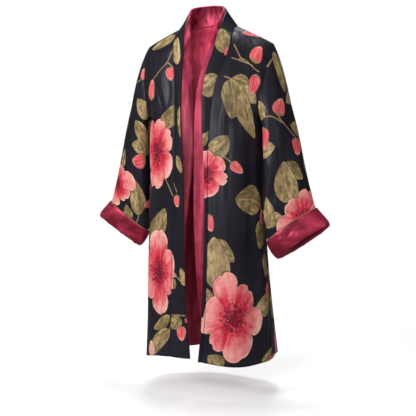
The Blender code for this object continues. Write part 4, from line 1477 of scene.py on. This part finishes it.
def crimson_satin(name, low, high, shine, rumples, height):
    """Crimson satin with painted sheen between a shaded and a lit colour, with fine floats and soft
    rumples of a height in metres.
    """
    paint = Paint(name)
    place = paint.object_place()
    cloud = paint.noise(place, 30.0, 3.0, 0.55)
    floats = paint.noise(paint.stretched(place, (700.0, 700.0, 80.0)), 1.0, 1.0)
    rumple = paint.noise(paint.stretched(place, rumples), 1.0, 1.0)
    # Painted sheen: the rumples that bump the cloth, with a little cloud, take the colour from the shaded
    # to the lit crimson
    colour = paint.blend((rumple * 0.7 + cloud * 0.3).step(0.35, 0.65), low, high)
    # Painted shade: the sheet's kept share of shade draws the colour towards a very dark red
    colour = paint.blend(paint.field("painted_shade")[0], colour, SHADE_RED)
    paint.set(base_color=colour, roughness=shine + (cloud - 0.5) * 0.12)
    paint.set(normal=paint.bumps((rumple, 0.75, height), (floats, 0.18, 0.0002)))
    paint.shader.inputs["Metallic"].default_value = 0.40
    paint.shader.inputs["Specular IOR Level"].default_value = 0.5
    paint.shader.inputs["Sheen Weight"].default_value = 0.55
    paint.shader.inputs["Sheen Roughness"].default_value = 0.35
    paint.shader.inputs["Sheen Tint"].default_value = SHEEN_PINK
    paint.shader.inputs["Specular Tint"].default_value = GLINT_PINK
    return paint.material


def corded_edge(name, light, dark):
    """Narrow cord: matt, with a fine twist of two colours."""
    paint = Paint(name)
    twist = paint.noise(paint.object_place(), 900.0, 1.0)
    paint.set(base_color=paint.blend(twist.step(0.3, 0.7), light, dark), roughness=0.6)
    return paint.material


satin_print = printed_satin()
satin_facing = crimson_satin("facing_satin_look", FACING_DARK, FACING_RED, 0.42, UPRIGHT, 0.0030)
satin_cuff = crimson_satin("cuff_satin_look", CUFF_DARK, CUFF_RED, 0.36, EVEN, 0.0040)
satin_lining = crimson_satin("lining_satin_look", LINING_DARK, LINING, 0.52, UPRIGHT, 0.0020)
piping_cord = corded_edge("piping_cord", PIPING, PIPING_SHADE)
print("materials:", len(satin_print.node_tree.nodes), "nodes in the printed satin")

# %% [markdown]
# ## Cloth
# Each sheet gets a thin wall. A shell's is printed outside and crimson inside, and has its print
# fields as point attributes. Faces are wound so that the printed side looks out of the garment.

# %% Cloth pieces
SHELL_WALL = 0.0014
LINING_WALL = 0.0009
SIDES = ((1, "left"), (-1, "right"))


def grid_object(name, points, materials, closed=(), flip=False):
    """Smooth object of a grid of points, closed along the axes where the grid is a ring."""
    index = np.arange(points.shape[0] * points.shape[1]).reshape(points.shape[:2])
    for axis in closed:
        index = np.concatenate([index, np.take(index, [0], axis=axis)], axis=axis)
    corners = [index[:-1, :-1], index[1:, :-1], index[1:, 1:], index[:-1, 1:]]
    quads = np.stack(corners[::-1] if flip else corners, axis=2).reshape(-1, 4)
    mesh = bpy.data.meshes.new(name)
    mesh.from_pydata(points.reshape(-1, 3).tolist(), [], quads.tolist())
    mesh.shade_smooth()
    for material in materials:
        mesh.materials.append(material)
    piece = bpy.data.objects.new(name, mesh)
    bpy.context.scene.collection.objects.link(piece)
    return piece


def cloth(name, points, node, materials, fields=None, closed=(), flip=False, wall=SHELL_WALL):
    """Object of one sheet with a wall about it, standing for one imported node."""
    piece = grid_object(name, points, materials, closed, flip)
    for key, values in (fields or {}).items():
        vector = values.ndim == 3
        attribute = piece.data.attributes.new(key, "FLOAT_VECTOR" if vector else "FLOAT", "POINT")
        attribute.data.foreach_set("vector" if vector else "value", values.astype(np.float32).ravel())
    solid = piece.modifiers.new("wall", "SOLIDIFY")
    solid.thickness = wall
    solid.offset = 0.0
    solid.use_even_offset = False
    solid.material_offset = len(materials) - 1
    solid.material_offset_rim = 0
    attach(piece, "root")
    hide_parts(node)
    return piece


OUTSIDE = [satin_print, satin_lining]
shell_left = cloth("shell_front_left", left_front, "front_left", OUTSIDE,
                   prints["front_left"])
shell_right = cloth("shell_front_right", right_front, "front_right", OUTSIDE,
                    prints["front_right"], flip=True)
shell_back = cloth("shell_back", back, "back_panel", OUTSIDE, prints["back"], flip=True)
shell_band = cloth("shell_band", band, "neck_band", [satin_print, satin_facing],
                   prints["band"], flip=True)
facing_piece = cloth("facing_roll", facing_sheet, "band_facing", [satin_facing],
                     {"painted_shade": facing_shade}, wall=LINING_WALL)
sleeve_pieces = {}
cuff_pieces = {}
for side, word in SIDES:
    sleeve_pieces[side] = cloth(f"shell_sleeve_{word}", tubes[side], f"sleeve_{word}",
                                OUTSIDE, prints[f"sleeve_{word}"], closed=(1,), flip=side > 0)
    cuff_pieces[side] = cloth(f"turned_cuff_{word}", cuffs[side], f"cuff_{word}",
                              [satin_cuff], {"painted_shade": cuff_shade}, closed=(1,), flip=side > 0)
across_share = np.abs(np.linspace(-1, 1, BACK_COLUMNS)) <= LINING_SHARE
above = body_rows()[0] >= HEM_HEIGHT + LINING_RAISE
inside_back = push(back, np.full(back.shape[:2], -LINING_DEPTH), BACK_WAY)[above][:, across_share]
lining_piece = cloth("lining_sheet", inside_back[:, ::2], "lining_back", [satin_lining],
                     wall=LINING_WALL)

# %% [markdown]
# ## Piping
# A narrow olive cord is sewn along each cuff's loose top edge. It is a tube: the edge's ring plus
# a small circle square to it, closed both ways.

# %% Piping
PIPING_RADIUS = 0.0011
PIPING_SIDES = 8


def ring_cord(name, line, radius):
    """Tube round a closed line: point + radius (cos a x side + sin a x up), a from 0 to a turn."""
    along = unit(np.roll(line, -1, axis=0) - np.roll(line, 1, axis=0))
    side = unit(line - line.mean(axis=0))
    side = unit(side - along * np.sum(side * along, axis=1, keepdims=True))
    up = np.cross(along, side)
    angle = np.linspace(0, 2 * math.pi, PIPING_SIDES, endpoint=False)[None, :, None]
    points = line[:, None] + radius * (np.cos(angle) * side[:, None] + np.sin(angle) * up[:, None])
    cord = grid_object(name, points, [piping_cord], closed=(0, 1))
    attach(cord, "root")
    return cord


for side, word in SIDES:
    ring_cord(f"cuff_piping_{word}", cuffs[side][0], PIPING_RADIUS)
print("piping round both cuffs,", PIPING_RADIUS * 2000, "mm thick")

# %% [markdown]
# ## What each sheet was cut to
# The cut of each piece is the flat rectangle that it comes out of, with its own area where it isn't
# a rectangle: the body pieces are cut away at the neck and armhole, and the sleeves taper.

# %% Cut sizes


def flat_area(points, closed=False):
    """Area of a grid in square metres, from its cells' diagonals."""
    grid = np.concatenate([points, points[:, :1]], axis=1) if closed else points
    first = grid[1:, 1:] - grid[:-1, :-1]
    second = grid[1:, :-1] - grid[:-1, 1:]
    return float(np.linalg.norm(np.cross(first, second), axis=2).sum() / 2)


CUT_COLUMNS = ("piece", "width", "length", "area")
CUTS = (
    (shell_left, 0.27, 1.08, flat_area(left_front)),
    (shell_right, 0.22, 1.10, flat_area(right_front)),
    (shell_back, 0.52, 1.10, flat_area(back)),
    (shell_band, 0.065, 2.26, flat_area(band)),
    (facing_piece, 0.09, 2.26, flat_area(facing_sheet)),
    (sleeve_pieces[1], 0.50, 0.58, flat_area(tubes[1], True)),
    (sleeve_pieces[-1], 0.50, 0.58, flat_area(tubes[-1], True)),
    (cuff_pieces[1], 0.40, 0.12, flat_area(cuffs[1], True)),
    (cuff_pieces[-1], 0.40, 0.12, flat_area(cuffs[-1], True)),
    (lining_piece, 0.44, 1.02, flat_area(inside_back)),
)
for cut in named(CUTS, CUT_COLUMNS):
    share = cut["area"] / (cut["width"] * cut["length"])
    print(cut["piece"].name, "cut", cut["width"], "x", cut["length"], "m, share", round(share, 2))

# %% [markdown]
# ## Studio
# The robe hangs in front of white, over a pale floor that fades out round it and takes a soft
# shadow. Only the camera sees the white: as light, the surroundings are pale in front and dim
# behind. Large soft lights stand round the robe as for a catalogue picture, and a small one lights
# the inside of the collar. The camera sees the robe from 20 degrees to the wearer's left.

# %% Floor, lights and camera
FLOOR_HEIGHT = -1.085
FLOOR_REACH = 2.0
CAMERA_TURN = 20.0
CAMERA_FAR = 2.8
CAMERA_HEIGHT = -0.25
CAMERA_PITCH = 5.78
CAMERA_SHIFT = 0.006
LENS = 81.17
FLOOR_GLOW = 0.30
FLOOR_NEAR = 0.70
FLOOR_FAR = 1.60
FLOOR_SEEN = (0.85, 0.85, 0.85, 1)
FLOOR_OTHER = (0.30, 0.30, 0.30, 1)
BLACK, WHITE = (0, 0, 0, 1), (1, 1, 1, 1)
ROOM_FRONT = 0.36
ROOM_BEHIND = 0.07
ROOM_TURN = (-0.4, 0.5)
LIGHT_COLUMNS = ("name", "place", "aim", "size", "spread", "power")
LIGHTS = (
    ("key", (-1.9, -2.5, 0.9), (0, 0, -0.45), 1.0, 180, 48.0),
    ("front", (0.2, -3.0, 0.1), (0, 0, -0.55), 0.7, 180, 36.0),
    ("fill", (2.5, -1.7, 0.3), (0, 0, -0.45), 1.0, 180, 7.0),
    ("top", (0.0, 0.25, 1.9), (0, 0, -0.45), 0.7, 180, 34.0),
    ("rear", (-0.8, 2.2, 2.0), (0, 0, -0.45), 1.6, 180, 30.0),
    ("nape", (0.000, -0.050, -0.010), (0.03, 0.08, -0.07), 0.05, 120, 0.16),
)


def floor_paper():
    """White paper that fades out round the robe; its glow is for the camera alone."""
    paint = Paint("floor_paper")
    x, y, _ = paint.parts(paint.object_place())
    away = (x * x + y * y).math("SQRT")
    seen = Wire(paint, paint.node("ShaderNodeLightPath", {}, {}).outputs["Is Camera Ray"])
    paint.set(alpha=1 - away.step(FLOOR_NEAR, FLOOR_FAR))
    paint.set(emission_color=paint.blend(seen, BLACK, WHITE))
    paint.set(base_color=paint.blend(seen, FLOOR_OTHER, FLOOR_SEEN))
    paint.shader.inputs["Roughness"].default_value = 0.9
    paint.shader.inputs["Specular IOR Level"].default_value = 0.0
    paint.shader.inputs["Emission Strength"].default_value = FLOOR_GLOW
    return paint.material


def white_room():
    """Surroundings: white to the camera; as light, pale in front and dim behind."""
    world = bpy.data.worlds.new("white_room")
    world.use_nodes = True
    tree = world.node_tree
    way = tree.nodes.new("ShaderNodeTexCoord")
    parts = tree.nodes.new("ShaderNodeSeparateXYZ")
    room = tree.nodes.new("ShaderNodeMapRange")
    seen = tree.nodes.new("ShaderNodeLightPath")
    strength = tree.nodes.new("ShaderNodeMapRange")
    room.inputs["From Min"].default_value = ROOM_TURN[0]
    room.inputs["From Max"].default_value = ROOM_TURN[1]
    room.inputs["To Min"].default_value = ROOM_FRONT
    room.inputs["To Max"].default_value = ROOM_BEHIND
    tree.links.new(way.outputs["Generated"], parts.inputs[0])
    tree.links.new(parts.outputs["Y"], room.inputs["Value"])
    tree.links.new(room.outputs["Result"], strength.inputs["To Min"])
    tree.links.new(seen.outputs["Is Camera Ray"], strength.inputs["Value"])
    tree.nodes["Background"].inputs["Color"].default_value = WHITE
    tree.links.new(strength.outputs["Result"], tree.nodes["Background"].inputs["Strength"])
    return world


def studio():
    """Pale floor, white surroundings and soft lights."""
    mesh = bpy.data.meshes.new("floor")
    ways = ((-1, -1), (1, -1), (1, 1), (-1, 1))
    corners = [(x * FLOOR_REACH, y * FLOOR_REACH, FLOOR_HEIGHT) for x, y in ways]
    mesh.from_pydata(corners, [], [(0, 1, 2, 3)])
    mesh.materials.append(floor_paper())
    floor = bpy.data.objects.new("floor", mesh)
    bpy.context.scene.collection.objects.link(floor)
    bpy.context.scene.world = white_room()
    for light in named(LIGHTS, LIGHT_COLUMNS):
        data = bpy.data.lights.new(light["name"], "AREA")
        data.shape, data.size, data.energy = "DISK", light["size"], light["power"]
        data.spread = math.radians(light["spread"])
        lamp = bpy.data.objects.new(light["name"], data)
        lamp.location = light["place"]
        lamp.visible_camera = False
        aim = np.array(light["aim"]) - np.array(light["place"])
        lamp.rotation_euler = (math.acos(-aim[2] / np.linalg.norm(aim)), 0, math.atan2(-aim[0], aim[1]))
        bpy.context.scene.collection.objects.link(lamp)
    bpy.context.scene.view_settings.view_transform = "Standard"


def camera():
    """Camera at the photograph's angle, on a circle about the garment."""
    turn, shift = math.radians(CAMERA_TURN), CAMERA_SHIFT
    data = bpy.data.cameras.new("camera")
    data.lens = LENS
    eye = bpy.data.objects.new("camera", data)
    eye.location = (math.sin(turn) * CAMERA_FAR - math.cos(turn) * shift,
                    -math.cos(turn) * CAMERA_FAR - math.sin(turn) * shift, CAMERA_HEIGHT)
    eye.rotation_euler = (math.radians(90 - CAMERA_PITCH), 0, turn)
    bpy.context.scene.collection.objects.link(eye)
    bpy.context.scene.camera = eye


studio()
camera()
